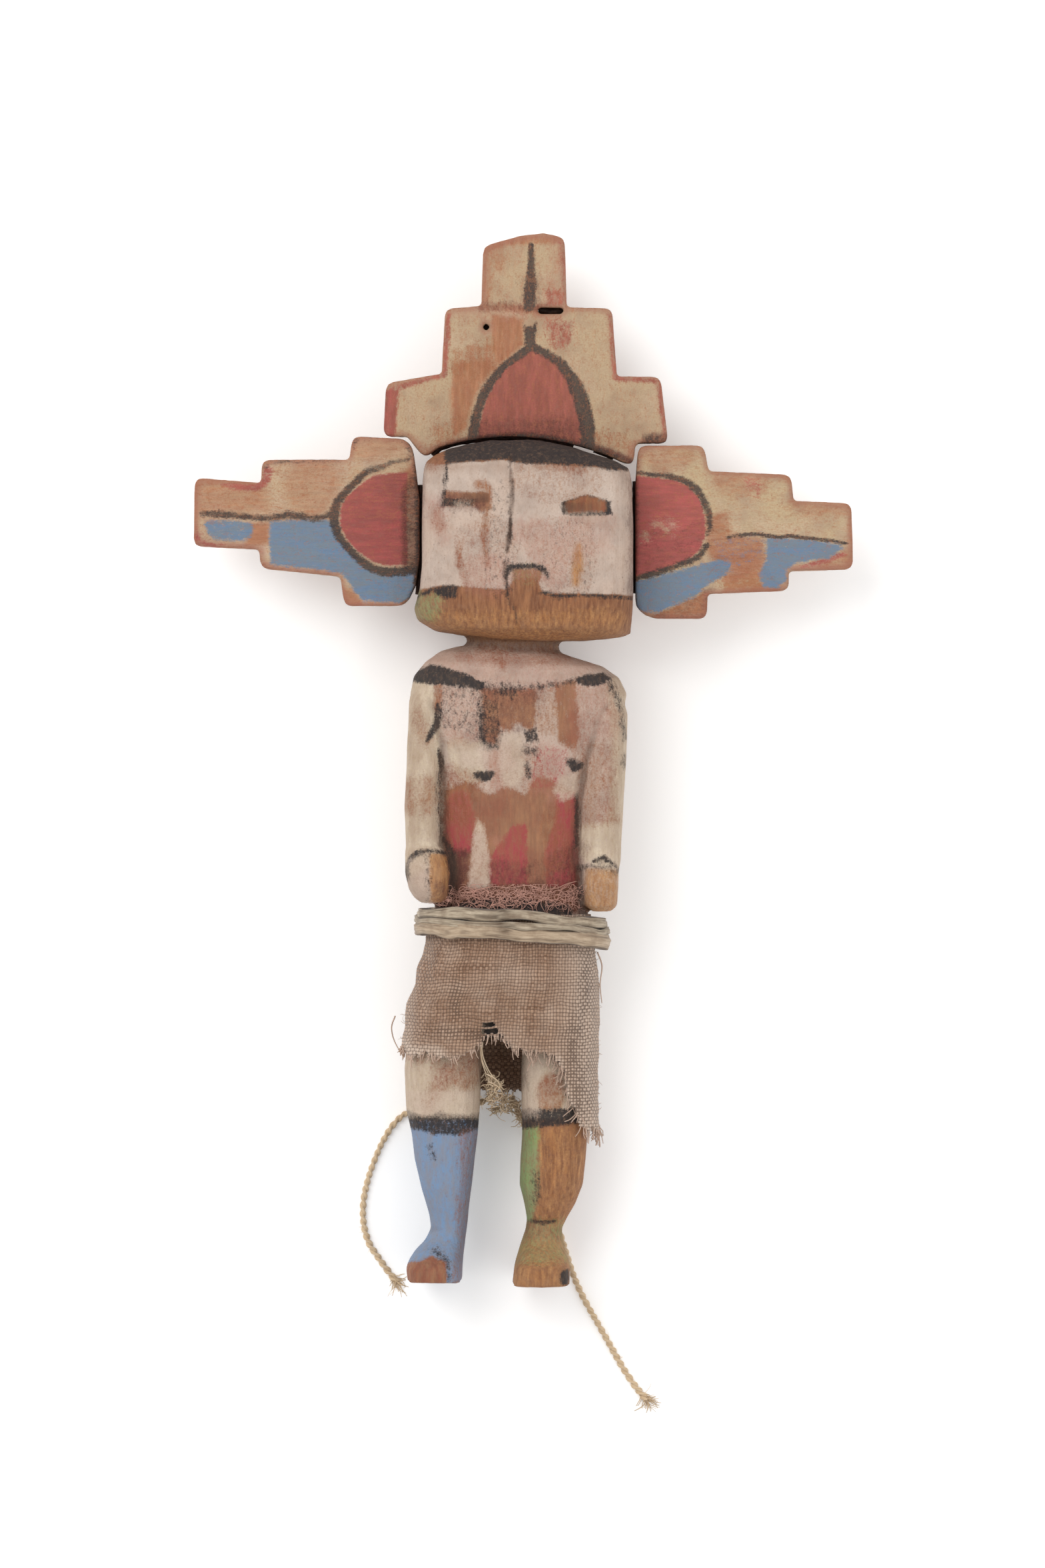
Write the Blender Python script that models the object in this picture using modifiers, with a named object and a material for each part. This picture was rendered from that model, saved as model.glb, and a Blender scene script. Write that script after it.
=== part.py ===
"""Carved and painted cottonwood figure with a stepped headdress, a wound waist band and a cloth kilt.

It lies on its back. +Z is up towards the face, +Y runs from the feet to the crown, and +X is to the
right of someone who looks down on the face. Z = 0 is the surface that it lies on. Left and right in
the names are the viewer's.
"""

import math
from collections import namedtuple

import bmesh
import bpy

# Every size below is in millimetres, and MM turns it to metres where a mesh is made.
MM = 0.001
# Room left between two pieces that touch.
GAP = 0.3

# Head
HEAD_LEFT = -21.9
HEAD_RIGHT = 23.7
HEAD_DEPTH = 36.4
HEAD_MIDDLE = HEAD_DEPTH / 2
CROWN = 68.7
CROWN_AT = -2.5
CROWN_CURVE = 0.0093
CHIN = 25.4
CHIN_AT = 5.0
CHIN_CURVE = 0.0045
EYE_SIZE = (10.6, 3.2)
EYE_PLACES = ((-12.2, 55.8), (13.4, 53.9))
EYE_DEPTH = 0.7

# Headdress boards
BOARD_THICK = 5.6
BOARD_CORNER = 1.5
BOARD_BEVEL = 0.5
GENTLE_TURN = math.radians(25.0)
BOARD_TOP = 113.0
BOARD_REACH = 70.7
PEG_HOLE = (-7.9, 92.9)
PEG_HOLE_RADIUS = 0.8
SLOT_HOLE = (5.9, 96.4)
SLOT_HOLE_SIZE = (5.6, 1.5)
# The top board's lower edge follows the crown between these two places, this far above it.
CROWN_EDGE_LEFT = -18.2
CROWN_EDGE_RIGHT = 22.6
CROWN_EDGE_STEPS = 9
CROWN_EDGE_CLEAR = 0.65

# Body
SOLE_LEFT = -111.7
SOLE_RIGHT = -112.6

# Waist band
BAND_LEFT = -23.3
BAND_RIGHT = 18.6
BAND_FRONT = 33.2
BAND_BACK = 0.1
BAND_Y = -36.4
BAND_TILT = -0.055
BAND_POWER = 3.3
BAND_THICK = 2.2
BAND_WIDTH = 6.6
BAND_COLUMNS = 44
# Each strand's place across the band, half its width and its height, as shares of the band's own.
BAND_STRANDS = ((0.33, 0.165, 0.85), (0.04, 0.17, 0.95), (-0.29, 0.215, 1.0))

# Kilt
CLOTH = 0.9
KILT_ROWS = 8
KILT_COLUMNS = 60
# Level of the hem by which a column of the cloth is told to be in front or behind.
HEM_LEVEL = -64.0
HALF_DEPTH = 13.0

# Cords
CORD = 1.4
CORD_STEP = 3.0 * CORD

SIDES = 28
LIMB_SIDES = 18

Section = namedtuple("Section", "y left right back front power tilt", defaults=(3.0, 0.0))


def head_sections():
    """Cross-sections of the head, crown first: domed above, straight at the sides, rounded at the chin."""
    sections = []
    for drop in (0.25, 0.8, 1.8, 3.2, 4.7, 6.2):
        half = math.sqrt(drop / CROWN_CURVE)
        inset = 8.5 * (1.0 - drop / 6.5) ** 1.6
        corner = 0.5 + 0.27 * (6.2 - drop) ** 2
        left = max(HEAD_LEFT + corner, CROWN_AT - half)
        right = min(HEAD_RIGHT - 0.9, CROWN_AT + half)
        sections.append(
            Section(CROWN - drop, left, right, inset - 0.2, HEAD_DEPTH - inset, 2.6 + 0.35 * drop)
        )
    sections += [
        Section(59.5, HEAD_LEFT + 0.2, HEAD_RIGHT - 0.3, -0.6, HEAD_DEPTH, 5.0),
        Section(50.0, HEAD_LEFT, HEAD_RIGHT, -0.7, HEAD_DEPTH + 0.3, 5.0),
        Section(41.5, HEAD_LEFT, HEAD_RIGHT, -0.7, HEAD_DEPTH + 0.2, 5.0),
        Section(36.6, HEAD_LEFT - 0.5, HEAD_RIGHT, -0.6, HEAD_DEPTH, 4.8),
        Section(32.6, HEAD_LEFT - 1.6, HEAD_RIGHT - 0.1, -0.3, HEAD_DEPTH - 0.3, 4.4),
        Section(30.0, HEAD_LEFT - 0.9, HEAD_RIGHT - 0.3, 0.4, HEAD_DEPTH - 0.8, 4.0),
    ]
    for rise in (2.7, 1.6, 0.8, 0.25):
        half = math.sqrt(rise / CHIN_CURVE)
        inset = 1.2 + 6.0 * (1.0 - rise / 3.0) ** 1.5
        left = max(HEAD_LEFT + 0.6, CHIN_AT - half)
        right = min(HEAD_RIGHT - 0.6, CHIN_AT + half)
        sections.append(Section(CHIN + rise, left, right, inset, HEAD_DEPTH - inset, 3.2 + 0.2 * rise))
    return sections


NECK = (
    Section(32.0, -12.0, 7.8, 10.0, 27.0, 2.6),
    Section(25.5, -12.1, 7.5, 9.5, 27.0, 2.6),
    Section(20.0, -13.0, 8.5, 9.0, 27.5, 2.6),
)

TORSO = (
    Section(24.0, -14.0, 7.5, 9.0, 26.5, 2.6, -0.06),
    Section(22.8, -17.6, 11.6, 7.2, 28.5, 2.8, -0.06),
    Section(20.8, -20.9, 17.2, 5.6, 30.2, 3.0, -0.03),
    Section(18.0, -23.5, 20.7, 4.6, 31.2, 3.2, -0.01),
    Section(14.4, -24.3, 22.3, 4.2, 31.4, 3.4),
    Section(6.0, -22.6, 20.6, 4.2, 30.9, 3.4),
    Section(-2.0, -20.6, 18.0, 4.4, 29.8, 3.4),
    Section(-10.0, -19.8, 16.8, 4.6, 28.6, 3.4),
    Section(-18.0, -19.4, 16.0, 4.8, 27.8, 3.4),
    Section(-27.0, -19.2, 14.6, 4.6, 27.8, 3.2),
    Section(-33.0, -19.0, 14.0, 4.1, 28.4, 2.8),
    Section(-39.0, -19.4, 13.8, 3.9, 28.6, 2.8),
    Section(-46.0, -21.2, 14.3, 3.3, 28.0, 2.8),
    Section(-54.0, -23.4, 14.6, 2.6, 26.4, 2.8),
    Section(-59.0, -24.2, 14.7, 2.4, 25.0, 2.8),
)

ARM_LEFT = (
    Section(17.5, -23.2, -15.0, 10.5, 26.5, 3.0),
    Section(13.0, -24.5, -15.8, 9.5, 28.6, 3.4),
    Section(5.0, -24.9, -16.8, 9.5, 29.6, 3.6),
    Section(-9.9, -25.4, -17.4, 10.0, 30.4, 3.6),
    Section(-18.2, -25.1, -17.6, 12.5, 30.4, 3.4),
    Section(-19.6, -25.3, -16.2, 14.0, 31.6, 3.0),
    Section(-24.0, -25.3, -15.2, 15.0, 33.2, 3.0),
    Section(-27.4, -24.4, -15.5, 16.0, 32.8, 2.8),
    Section(-29.4, -23.2, -15.4, 17.5, 31.4, 2.8),
    Section(-30.4, -21.9, -15.9, 19.0, 29.8, 2.6),
)

ARM_RIGHT = (
    Section(15.0, 12.5, 21.0, 10.5, 27.0, 3.0),
    Section(10.0, 13.5, 22.4, 9.5, 29.0, 3.4),
    Section(0.0, 13.0, 22.1, 9.5, 29.8, 3.6),
    Section(-9.0, 12.0, 21.6, 10.0, 30.4, 3.6),
    Section(-21.8, 11.6, 21.0, 12.5, 30.6, 3.4),
    Section(-23.2, 12.4, 20.6, 14.0, 31.8, 3.4),
    Section(-27.0, 12.7, 20.5, 15.0, 32.8, 3.2),
    Section(-31.0, 13.2, 20.2, 16.5, 31.8, 3.0),
    Section(-32.3, 14.6, 18.9, 18.5, 29.5, 2.6),
)

LEG_LEFT = (
    Section(-48.0, -21.0, -9.6, 6.0, 24.0, 2.6),
    Section(-58.0, -24.8, -9.0, 3.4, 24.6, 2.5),
    Section(-66.0, -25.6, -8.9, 3.4, 24.0, 2.5),
    Section(-75.0, -25.2, -9.2, 4.2, 23.2, 2.6),
    Section(-80.0, -24.0, -9.6, 4.6, 22.8, 2.8),
    Section(-86.0, -23.2, -10.4, 5.0, 22.4, 2.6),
    Section(-92.0, -21.9, -11.2, 5.6, 21.8, 2.6),
    Section(-97.5, -20.3, -11.8, 6.6, 20.6, 2.5),
    Section(-100.4, -19.9, -12.1, 6.8, 20.2, 2.5),
    Section(-102.8, -21.0, -12.4, 5.6, 21.6, 2.7),
    Section(-105.2, -23.2, -12.7, 4.0, 24.4, 3.0),
    Section(-107.6, -24.7, -12.9, 2.8, 27.4, 3.6),
    Section(-109.0, -25.1, -13.0, 2.5, 28.2, 4.0),
    Section(SOLE_LEFT, -24.8, -13.1, 2.5, 28.2, 4.0),
)

LEG_RIGHT = (
    Section(-48.0, 0.8, 13.2, 6.0, 24.0, 2.6),
    Section(-58.0, 0.0, 14.5, 3.4, 24.6, 2.5),
    Section(-66.0, -0.4, 14.7, 3.4, 24.0, 2.5),
    Section(-75.6, -0.3, 14.4, 4.2, 23.2, 2.6),
    Section(-80.0, -0.1, 13.9, 4.6, 22.8, 2.8),
    Section(-86.0, -0.5, 13.5, 4.8, 22.6, 2.6),
    Section(-91.0, -0.7, 12.9, 5.2, 22.2, 2.6),
    Section(-95.0, 0.2, 11.3, 6.0, 21.4, 2.5),
    Section(-98.4, 0.8, 9.2, 6.8, 20.2, 2.5),
    Section(-100.6, 0.5, 8.1, 7.0, 20.0, 2.5),
    Section(-104.0, -0.7, 8.6, 5.2, 22.2, 2.7),
    Section(-106.6, -1.5, 9.4, 3.6, 25.6, 3.2),
    Section(-108.4, -1.9, 10.0, 2.7, 28.0, 3.8),
    Section(SOLE_RIGHT, -2.4, 10.0, 2.5, 28.2, 4.0),
)

KILT = (
    Section(-33.0, -20.3, 15.3, 2.8, 29.7, 2.9),
    Section(-39.0, -20.8, 15.2, 2.5, 30.0, 2.9),
    Section(-46.0, -22.8, 15.8, 1.7, 29.6, 3.0),
    Section(-54.0, -25.1, 16.1, 0.3, 28.4, 3.2),
    Section(-62.0, -26.7, 16.2, -0.6, 27.4, 3.6),
    Section(-80.0, -27.2, 16.4, -0.4, 26.6, 3.6),
)

# How far down the cloth reaches at each x, in front and behind.
HEM_FRONT = (
    (-27.0, -63.6),
    (-12.0, -62.6),
    (-9.6, -61.6),
    (-8.4, -59.4),
    (-2.8, -59.2),
    (-1.2, -61.6),
    (8.0, -62.7),
    (9.6, -66.0),
    (11.0, -74.5),
    (12.6, -79.0),
    (17.0, -79.4),
)
HEM_BACK = ((-27.0, -63.6), (-22.0, -66.5), (-10.0, -71.0), (2.0, -72.0), (10.0, -75.5), (17.0, -79.4))

# Corners of the stepped boards, from the head outwards on one side and back on the other.
TOP_BOARD = (
    (-29.9, 69.5),
    (-29.3, 80.8),
    (-17.4, 82.9),
    (-16.7, 96.8),
    (-8.9, 97.4),
    (-8.5, 110.2),
    (-0.7, 112.4),
    (4.3, BOARD_TOP),
    (8.9, BOARD_TOP - 0.9),
    (9.3, 97.2),
    (19.1, 96.9),
    (20.0, 82.3),
    (29.4, 82.2),
    (31.1, 68.1),
)
LEFT_BOARD = (
    (-38.4, 33.1),
    (-39.3, 39.4),
    (-56.2, 41.2),
    (-56.6, 45.3),
    (-BOARD_REACH, 46.0),
    (-70.3, 60.6),
    (-56.2, 59.5),
    (-56.0, 64.4),
    (-37.3, 64.5),
    (-36.6, 69.6),
)
RIGHT_BOARD = (
    (39.4, 30.4),
    (39.6, 35.7),
    (57.0, 36.4),
    (57.0, 40.6),
    (BOARD_REACH, 41.0),
    (BOARD_REACH - 0.4, 55.1),
    (58.0, 55.7),
    (57.4, 61.3),
    (39.8, 62.1),
    (38.7, 67.6),
)

CORD_LEFT_ROUTE = (
    (-6.0, -72.3, 0.9),
    (-9.5, -74.0, 0.75),
    (-15.0, -75.2, 0.72),
    (-20.5, -75.4, 0.72),
    (-25.0, -76.1, 0.72),
    (-28.0, -78.6, 0.72),
    (-30.4, -82.4, 0.72),
    (-32.2, -86.5, 0.72),
    (-33.7, -91.0, 0.72),
    (-34.6, -95.8, 0.72),
    (-34.5, -100.2, 0.72),
    (-33.4, -104.2, 0.72),
    (-31.3, -107.5, 0.72),
    (-29.2, -110.4, 0.72),
    (-27.3, -112.8, 0.72),
)
CORD_RIGHT_ROUTE = (
    (-2.6, -72.6, 0.9),
    (-1.2, -75.6, 0.75),
    (0.4, -79.0, 0.72),
    (2.2, -84.0, 0.72),
    (4.0, -89.5, 0.72),
    (5.9, -95.5, 0.72),
    (7.8, -101.5, 0.72),
    (9.6, -107.4, 0.72),
    (11.4, -112.6, 0.72),
    (13.6, -117.2, 0.72),
    (16.1, -121.6, 0.72),
    (18.7, -126.2, 0.72),
    (21.4, -131.0, 0.72),
    (24.2, -135.2, 0.72),
    (26.8, -138.2, 0.72),
)

FINISHES = {
    "painted_wood": ((0.62, 0.53, 0.42), 0.85),
    "painted_board": ((0.60, 0.44, 0.29), 0.85),
    "band_cotton": ((0.50, 0.46, 0.40), 0.95),
    "kilt_cotton": ((0.36, 0.22, 0.16), 0.95),
    "cotton_string": ((0.62, 0.45, 0.27), 0.95),
}


def clear_scene():
    for obj in list(bpy.data.objects):
        bpy.data.objects.remove(obj, do_unlink=True)


def new_collection(name):
    collection = bpy.data.collections.new(name)
    bpy.context.scene.collection.children.link(collection)
    return collection


def finish(name):
    """The material of that name, a Principled BSDF with its colour and roughness."""
    material = bpy.data.materials.get(name)
    if material is None:
        colour, roughness = FINISHES[name]
        material = bpy.data.materials.new(name)
        material.use_nodes = True
        shader = material.node_tree.nodes["Principled BSDF"]
        shader.inputs["Base Color"].default_value = (*colour, 1.0)
        shader.inputs["Roughness"].default_value = roughness
        shader.inputs["Metallic"].default_value = 0.0
    return material


def add_mesh(name, bm, collection, material=None):
    """An object from a closed bmesh, with its faces turned outwards."""
    bmesh.ops.recalc_face_normals(bm, faces=bm.faces)
    mesh = bpy.data.meshes.new(name)
    bm.to_mesh(mesh)
    bm.free()
    obj = bpy.data.objects.new(name, mesh)
    collection.objects.link(obj)
    if material:
        mesh.materials.append(finish(material))
    if collection.name == "cutters":
        obj.hide_render = True
        obj.display_type = "WIRE"
    return obj


def shade(obj, degrees=35.0):
    obj.data.shade_smooth()
    obj.data.set_sharp_from_angle(angle=math.radians(degrees))


def ring_points(section, sides):
    """Points of a superellipse in X and Z at the section's Y. What would go below the floor lies on it."""
    middle_x = (section.left + section.right) / 2
    middle_z = (section.back + section.front) / 2
    half_x = (section.right - section.left) / 2
    half_z = (section.front - section.back) / 2
    points = []
    for step in range(sides):
        turn = 2 * math.pi * step / sides
        cosine, sine = math.cos(turn), math.sin(turn)
        across = math.copysign(abs(cosine) ** (2 / section.power), cosine) * half_x
        up = math.copysign(abs(sine) ** (2 / section.power), sine) * half_z
        points.append((middle_x + across, section.y + section.tilt * across, max(middle_z + up, 0.0)))
    return points


def loft(name, sections, sides, collection, material=None):
    """A closed solid through the sections, with flat ends."""
    bm = bmesh.new()
    rings = []
    for section in sections:
        rings.append([bm.verts.new([c * MM for c in point]) for point in ring_points(section, sides)])
    for upper, lower in zip(rings, rings[1:]):
        for step in range(sides):
            after = (step + 1) % sides
            bm.faces.new((upper[step], upper[after], lower[after], lower[step]))
    bm.faces.new(rings[0])
    bm.faces.new(rings[-1])
    return add_mesh(name, bm, collection, material)


def boolean(target, tool, operation):
    modifier = target.modifiers.new(f"{operation.lower()} {tool.name}", "BOOLEAN")
    modifier.operation = operation
    modifier.object = tool
    modifier.solver = "EXACT"


def box(name, centre, size, collection):
    bm = bmesh.new()
    bmesh.ops.create_cube(bm, size=1.0)
    bmesh.ops.scale(bm, vec=[s * MM for s in size], verts=bm.verts)
    bmesh.ops.translate(bm, vec=[c * MM for c in centre], verts=bm.verts)
    return add_mesh(name, bm, collection)


def build_figure(parts, cutters):
    """The carving: head, neck, torso, arms, legs and feet in one piece of wood, with two cut eyes."""
    figure = loft("figure", TORSO, SIDES, parts, "painted_wood")
    pieces = (
        loft("head_block", head_sections(), SIDES, cutters),
        loft("neck_block", NECK, LIMB_SIDES, cutters),
        loft("arm_left_block", ARM_LEFT, LIMB_SIDES, cutters),
        loft("arm_right_block", ARM_RIGHT, LIMB_SIDES, cutters),
        loft("leg_left_block", LEG_LEFT, LIMB_SIDES, cutters),
        loft("leg_right_block", LEG_RIGHT, LIMB_SIDES, cutters),
    )
    for piece in pieces:
        boolean(figure, piece, "UNION")
    for side, (x, y) in zip(("left", "right"), EYE_PLACES):
        centre = (x, y, HEAD_DEPTH + 2.0 - EYE_DEPTH)
        boolean(figure, box(f"eye_{side}_cut", centre, (*EYE_SIZE, 4.0), cutters), "DIFFERENCE")
    return figure


def rounded(points, radius):
    """The same closed outline, drawn either way round, with three points at each outer corner."""
    result = []
    count = len(points)
    turns = []
    for index, corner in enumerate(points):
        before, after = points[index - 1], points[(index + 1) % count]
        heading_in = math.atan2(corner[1] - before[1], corner[0] - before[0])
        heading_out = math.atan2(after[1] - corner[1], after[0] - corner[0])
        turns.append(math.remainder(heading_out - heading_in, 2 * math.pi))
    way = math.copysign(1.0, sum(turns))
    for index, corner in enumerate(points):
        if turns[index] * way < GENTLE_TURN:
            result.append(corner)
            continue
        ends = []
        for neighbour in (points[index - 1], points[(index + 1) % count]):
            share = min(radius / math.dist(corner, neighbour), 0.45)
            ends.append([c + (n - c) * share for c, n in zip(corner, neighbour)])
        start, end = ends
        for t in (0.0, 0.5, 1.0):
            bend = [(1 - t) ** 2 * s + 2 * t * (1 - t) * c + t**2 * e for s, c, e in zip(start, corner, end)]
            result.append(tuple(bend))
    return result


def crown_edge(x):
    return CROWN - CROWN_CURVE * (x - CROWN_AT) ** 2


def board(name, outline, cutters, parts, holes=()):
    """A flat board with eased edges, at the middle of the head's depth."""
    curve = bpy.data.curves.new(name, "CURVE")
    curve.dimensions = "2D"
    curve.fill_mode = "BOTH"
    curve.extrude = BOARD_THICK / 2 * MM
    spline = curve.splines.new("POLY")
    spline.points.add(len(outline) - 1)
    for point, (x, y) in zip(spline.points, outline):
        point.co = (x * MM, y * MM, 0.0, 1.0)
    spline.use_cyclic_u = True
    guide = bpy.data.objects.new(f"{name}_outline", curve)
    cutters.objects.link(guide)
    guide.location.z = HEAD_MIDDLE * MM
    bpy.context.view_layer.update()
    evaluated = guide.evaluated_get(bpy.context.evaluated_depsgraph_get())
    mesh = bpy.data.meshes.new_from_object(evaluated)
    place = guide.matrix_world.copy()
    bpy.data.objects.remove(guide, do_unlink=True)

    bm = bmesh.new()
    bm.from_mesh(mesh)
    bpy.data.meshes.remove(mesh)
    bmesh.ops.remove_doubles(bm, verts=bm.verts, dist=0.00001)
    obj = add_mesh(name, bm, parts, "painted_board")
    obj.matrix_world = place
    for hole in holes:
        boolean(obj, hole, "DIFFERENCE")
    bevel = obj.modifiers.new("eased edges", "BEVEL")
    bevel.width = BOARD_BEVEL * MM
    bevel.segments = 1
    bevel.limit_method = "ANGLE"
    bevel.angle_limit = math.radians(50.0)
    return obj


def build_headdress(parts, cutters):
    """Three stepped boards: one that stands on the crown and one at each side of the head."""
    peg = bmesh.new()
    bmesh.ops.create_cone(
        peg,
        segments=10,
        radius1=PEG_HOLE_RADIUS * MM,
        radius2=PEG_HOLE_RADIUS * MM,
        depth=3 * BOARD_THICK * MM,
        cap_ends=True,
    )
    place = (PEG_HOLE[0] * MM, PEG_HOLE[1] * MM, HEAD_MIDDLE * MM)
    bmesh.ops.translate(peg, vec=place, verts=peg.verts)
    holes = (
        add_mesh("peg_hole_cut", peg, cutters),
        box("slot_cut", (*SLOT_HOLE, HEAD_MIDDLE), (*SLOT_HOLE_SIZE, 3 * BOARD_THICK), cutters),
    )

    outline = [*TOP_BOARD, (24.7, 68.1), (23.9, 67.4), (23.7, 64.2)]
    for step in range(CROWN_EDGE_STEPS + 1):
        x = CROWN_EDGE_RIGHT - step * (CROWN_EDGE_RIGHT - CROWN_EDGE_LEFT) / CROWN_EDGE_STEPS
        outline.append((x, crown_edge(x) + CROWN_EDGE_CLEAR))
    outline += [(-21.1, 64.9), (-23.3, 67.6), (-24.8, 69.5)]
    board("headdress_top", rounded(outline, BOARD_CORNER), cutters, parts, holes)

    root = HEAD_LEFT - GAP
    outline = [*LEFT_BOARD, (-25.4, 69.1), (-23.6, 67.2), (-23.0, 62.0), (root, 56.0)]
    outline += [(root, 43.0), (-22.9, 37.6), (-24.4, 34.6), (-25.8, 33.1)]
    board("headdress_left", rounded(outline, BOARD_CORNER), cutters, parts)

    root = HEAD_RIGHT + GAP
    outline = [*RIGHT_BOARD, (24.7, 67.5), (24.3, 62.0), (root, 58.0)]
    outline += [(root, 33.0), (26.2, 31.0), (28.6, 30.4)]
    board("headdress_right", rounded(outline, BOARD_CORNER), cutters, parts)


def build_band(parts):
    """Cloth strip wound round the waist: three strands side by side, swept round the body."""
    section = []
    for place, half, height in BAND_STRANDS:
        for turn in (60, 0, -60):
            angle = math.radians(turn)
            along = (place + half * math.sin(angle)) * BAND_WIDTH
            section.append((along, BAND_THICK / 2 * (1 + height * math.cos(angle))))
    section += [(section[-1][0], 0.0), (section[0][0], 0.0)]

    bm = bmesh.new()
    loops = []
    for along, out in section:
        inset = BAND_THICK - out
        y = BAND_Y + along
        shape = Section(
            y,
            BAND_LEFT + inset,
            BAND_RIGHT - inset,
            BAND_BACK + inset,
            BAND_FRONT - inset,
            BAND_POWER,
            BAND_TILT,
        )
        loops.append([bm.verts.new([c * MM for c in point]) for point in ring_points(shape, BAND_COLUMNS)])
    for index, loop in enumerate(loops):
        following = loops[(index + 1) % len(loops)]
        for step in range(BAND_COLUMNS):
            after = (step + 1) % BAND_COLUMNS
            bm.faces.new((loop[step], loop[after], following[after], following[step]))
    return add_mesh("waist_band", bm, parts, "band_cotton")


def between(table, x):
    """Value at x on the straight lines between the table's points."""
    for (x0, y0), (x1, y1) in zip(table, table[1:]):
        if x <= x1:
            return y0 + (y1 - y0) * (x - x0) / (x1 - x0)
    return table[-1][1]


def kilt_section(y):
    """The kilt's cross-section at height y, between those given."""
    for upper, lower in zip(KILT, KILT[1:]):
        if y >= lower.y:
            share = (upper.y - y) / (upper.y - lower.y)
            return Section(*[a + (b - a) * share for a, b in zip(upper, lower)])
    return KILT[-1]


def build_kilt(parts):
    """Cloth wrapped round the hips, open below, with a notch between the legs and a long right end."""
    bm = bmesh.new()
    columns = []
    for step in range(KILT_COLUMNS):
        hem_x, _, hem_z = ring_points(kilt_section(HEM_LEVEL), KILT_COLUMNS)[step]
        hem = between(HEM_FRONT if hem_z > HALF_DEPTH else HEM_BACK, hem_x)
        column = []
        for row in range(KILT_ROWS + 1):
            y = KILT[0].y + (hem - KILT[0].y) * row / KILT_ROWS
            point = ring_points(kilt_section(y), KILT_COLUMNS)[step]
            column.append(bm.verts.new([c * MM for c in point]))
        columns.append(column)
    for step, column in enumerate(columns):
        following = columns[(step + 1) % KILT_COLUMNS]
        for row in range(KILT_ROWS):
            bm.faces.new((column[row], following[row], following[row + 1], column[row + 1]))
    kilt = add_mesh("kilt", bm, parts, "kilt_cotton")
    solid = kilt.modifiers.new("cloth", "SOLIDIFY")
    solid.thickness = CLOTH * MM
    solid.offset = -1.0
    solid.use_even_offset = False
    return kilt


def smooth_route(route, spacing):
    """Points at an even spacing on a smooth curve through the route's own points."""
    dense = []
    last = len(route) - 1
    for index in range(last):
        p0 = route[max(index - 1, 0)]
        p1, p2 = route[index], route[index + 1]
        p3 = route[min(index + 2, last)]
        for part in range(12):
            t = part / 12
            weights = (
                -0.5 * t + t**2 - 0.5 * t**3,
                1.0 - 2.5 * t**2 + 1.5 * t**3,
                0.5 * t + 2.0 * t**2 - 1.5 * t**3,
                -0.5 * t**2 + 0.5 * t**3,
            )
            dense.append([sum(w * c for w, c in zip(weights, axis)) for axis in zip(p0, p1, p2, p3)])
    dense.append(list(route[-1]))
    lengths = [0.0]
    for a, b in zip(dense, dense[1:]):
        lengths.append(lengths[-1] + math.dist(a, b))
    count = max(2, round(lengths[-1] / spacing))
    points = []
    index = 0
    for step in range(count + 1):
        target = lengths[-1] * step / count
        while index < len(lengths) - 2 and lengths[index + 1] < target:
            index += 1
        share = (target - lengths[index]) / (lengths[index + 1] - lengths[index])
        points.append([a + (b - a) * share for a, b in zip(dense[index], dense[index + 1])])
    return points


def build_cord(name, route, parts):
    """A length of string that lies on the surface."""
    points = smooth_route(route, CORD_STEP)
    curve = bpy.data.curves.new(name, "CURVE")
    curve.dimensions = "3D"
    curve.bevel_depth = CORD / 2 * MM
    curve.bevel_resolution = 2
    curve.use_fill_caps = True
    spline = curve.splines.new("POLY")
    spline.points.add(len(points) - 1)
    for point, place in zip(spline.points, points):
        point.co = (*[c * MM for c in place], 1.0)
    curve.materials.append(finish("cotton_string"))
    obj = bpy.data.objects.new(name, curve)
    parts.objects.link(obj)
    return obj


def main():
    clear_scene()
    parts = new_collection("kachina_doll")
    cutters = new_collection("cutters")
    build_figure(parts, cutters)
    build_headdress(parts, cutters)
    build_band(parts)
    build_kilt(parts)
    build_cord("cord_left", CORD_LEFT_ROUTE, parts)
    build_cord("cord_right", CORD_RIGHT_ROUTE, parts)
    for obj in parts.objects:
        if obj.type == "MESH":
            shade(obj)


main()
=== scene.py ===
"""A carved and painted kachina doll of cottonwood root, lying on its back on pale paper.

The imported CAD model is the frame. Each carved piece starts as a copy of its CAD node, is remeshed finely,
cut with knife marks and painted; the cloth, the band and the strings are modelled over their solids.
Brush work is given in ticks, sevenths of a millimetre, on the plane that the camera looks at.
"""

from __future__ import annotations

import logging
import math
from dataclasses import dataclass
from enum import Enum
from typing import Any, Iterable, Sequence

import bpy
import numpy as np
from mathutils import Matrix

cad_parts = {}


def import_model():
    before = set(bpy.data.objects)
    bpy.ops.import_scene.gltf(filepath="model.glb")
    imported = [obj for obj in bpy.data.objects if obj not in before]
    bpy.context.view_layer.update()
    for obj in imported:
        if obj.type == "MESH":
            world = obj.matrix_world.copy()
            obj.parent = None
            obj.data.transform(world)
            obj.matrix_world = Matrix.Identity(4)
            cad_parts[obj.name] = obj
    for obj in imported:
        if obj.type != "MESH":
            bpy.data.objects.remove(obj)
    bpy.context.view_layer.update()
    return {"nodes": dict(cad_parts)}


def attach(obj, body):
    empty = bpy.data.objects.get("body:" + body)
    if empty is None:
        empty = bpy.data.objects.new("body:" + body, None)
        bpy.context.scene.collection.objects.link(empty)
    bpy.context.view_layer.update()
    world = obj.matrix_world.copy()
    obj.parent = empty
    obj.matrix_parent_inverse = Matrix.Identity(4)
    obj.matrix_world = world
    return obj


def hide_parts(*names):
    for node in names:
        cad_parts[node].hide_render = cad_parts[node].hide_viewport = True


log = logging.getLogger("kachina")

MM = 0.001
TICKS = 7.0
TURN = 2 * math.pi

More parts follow.
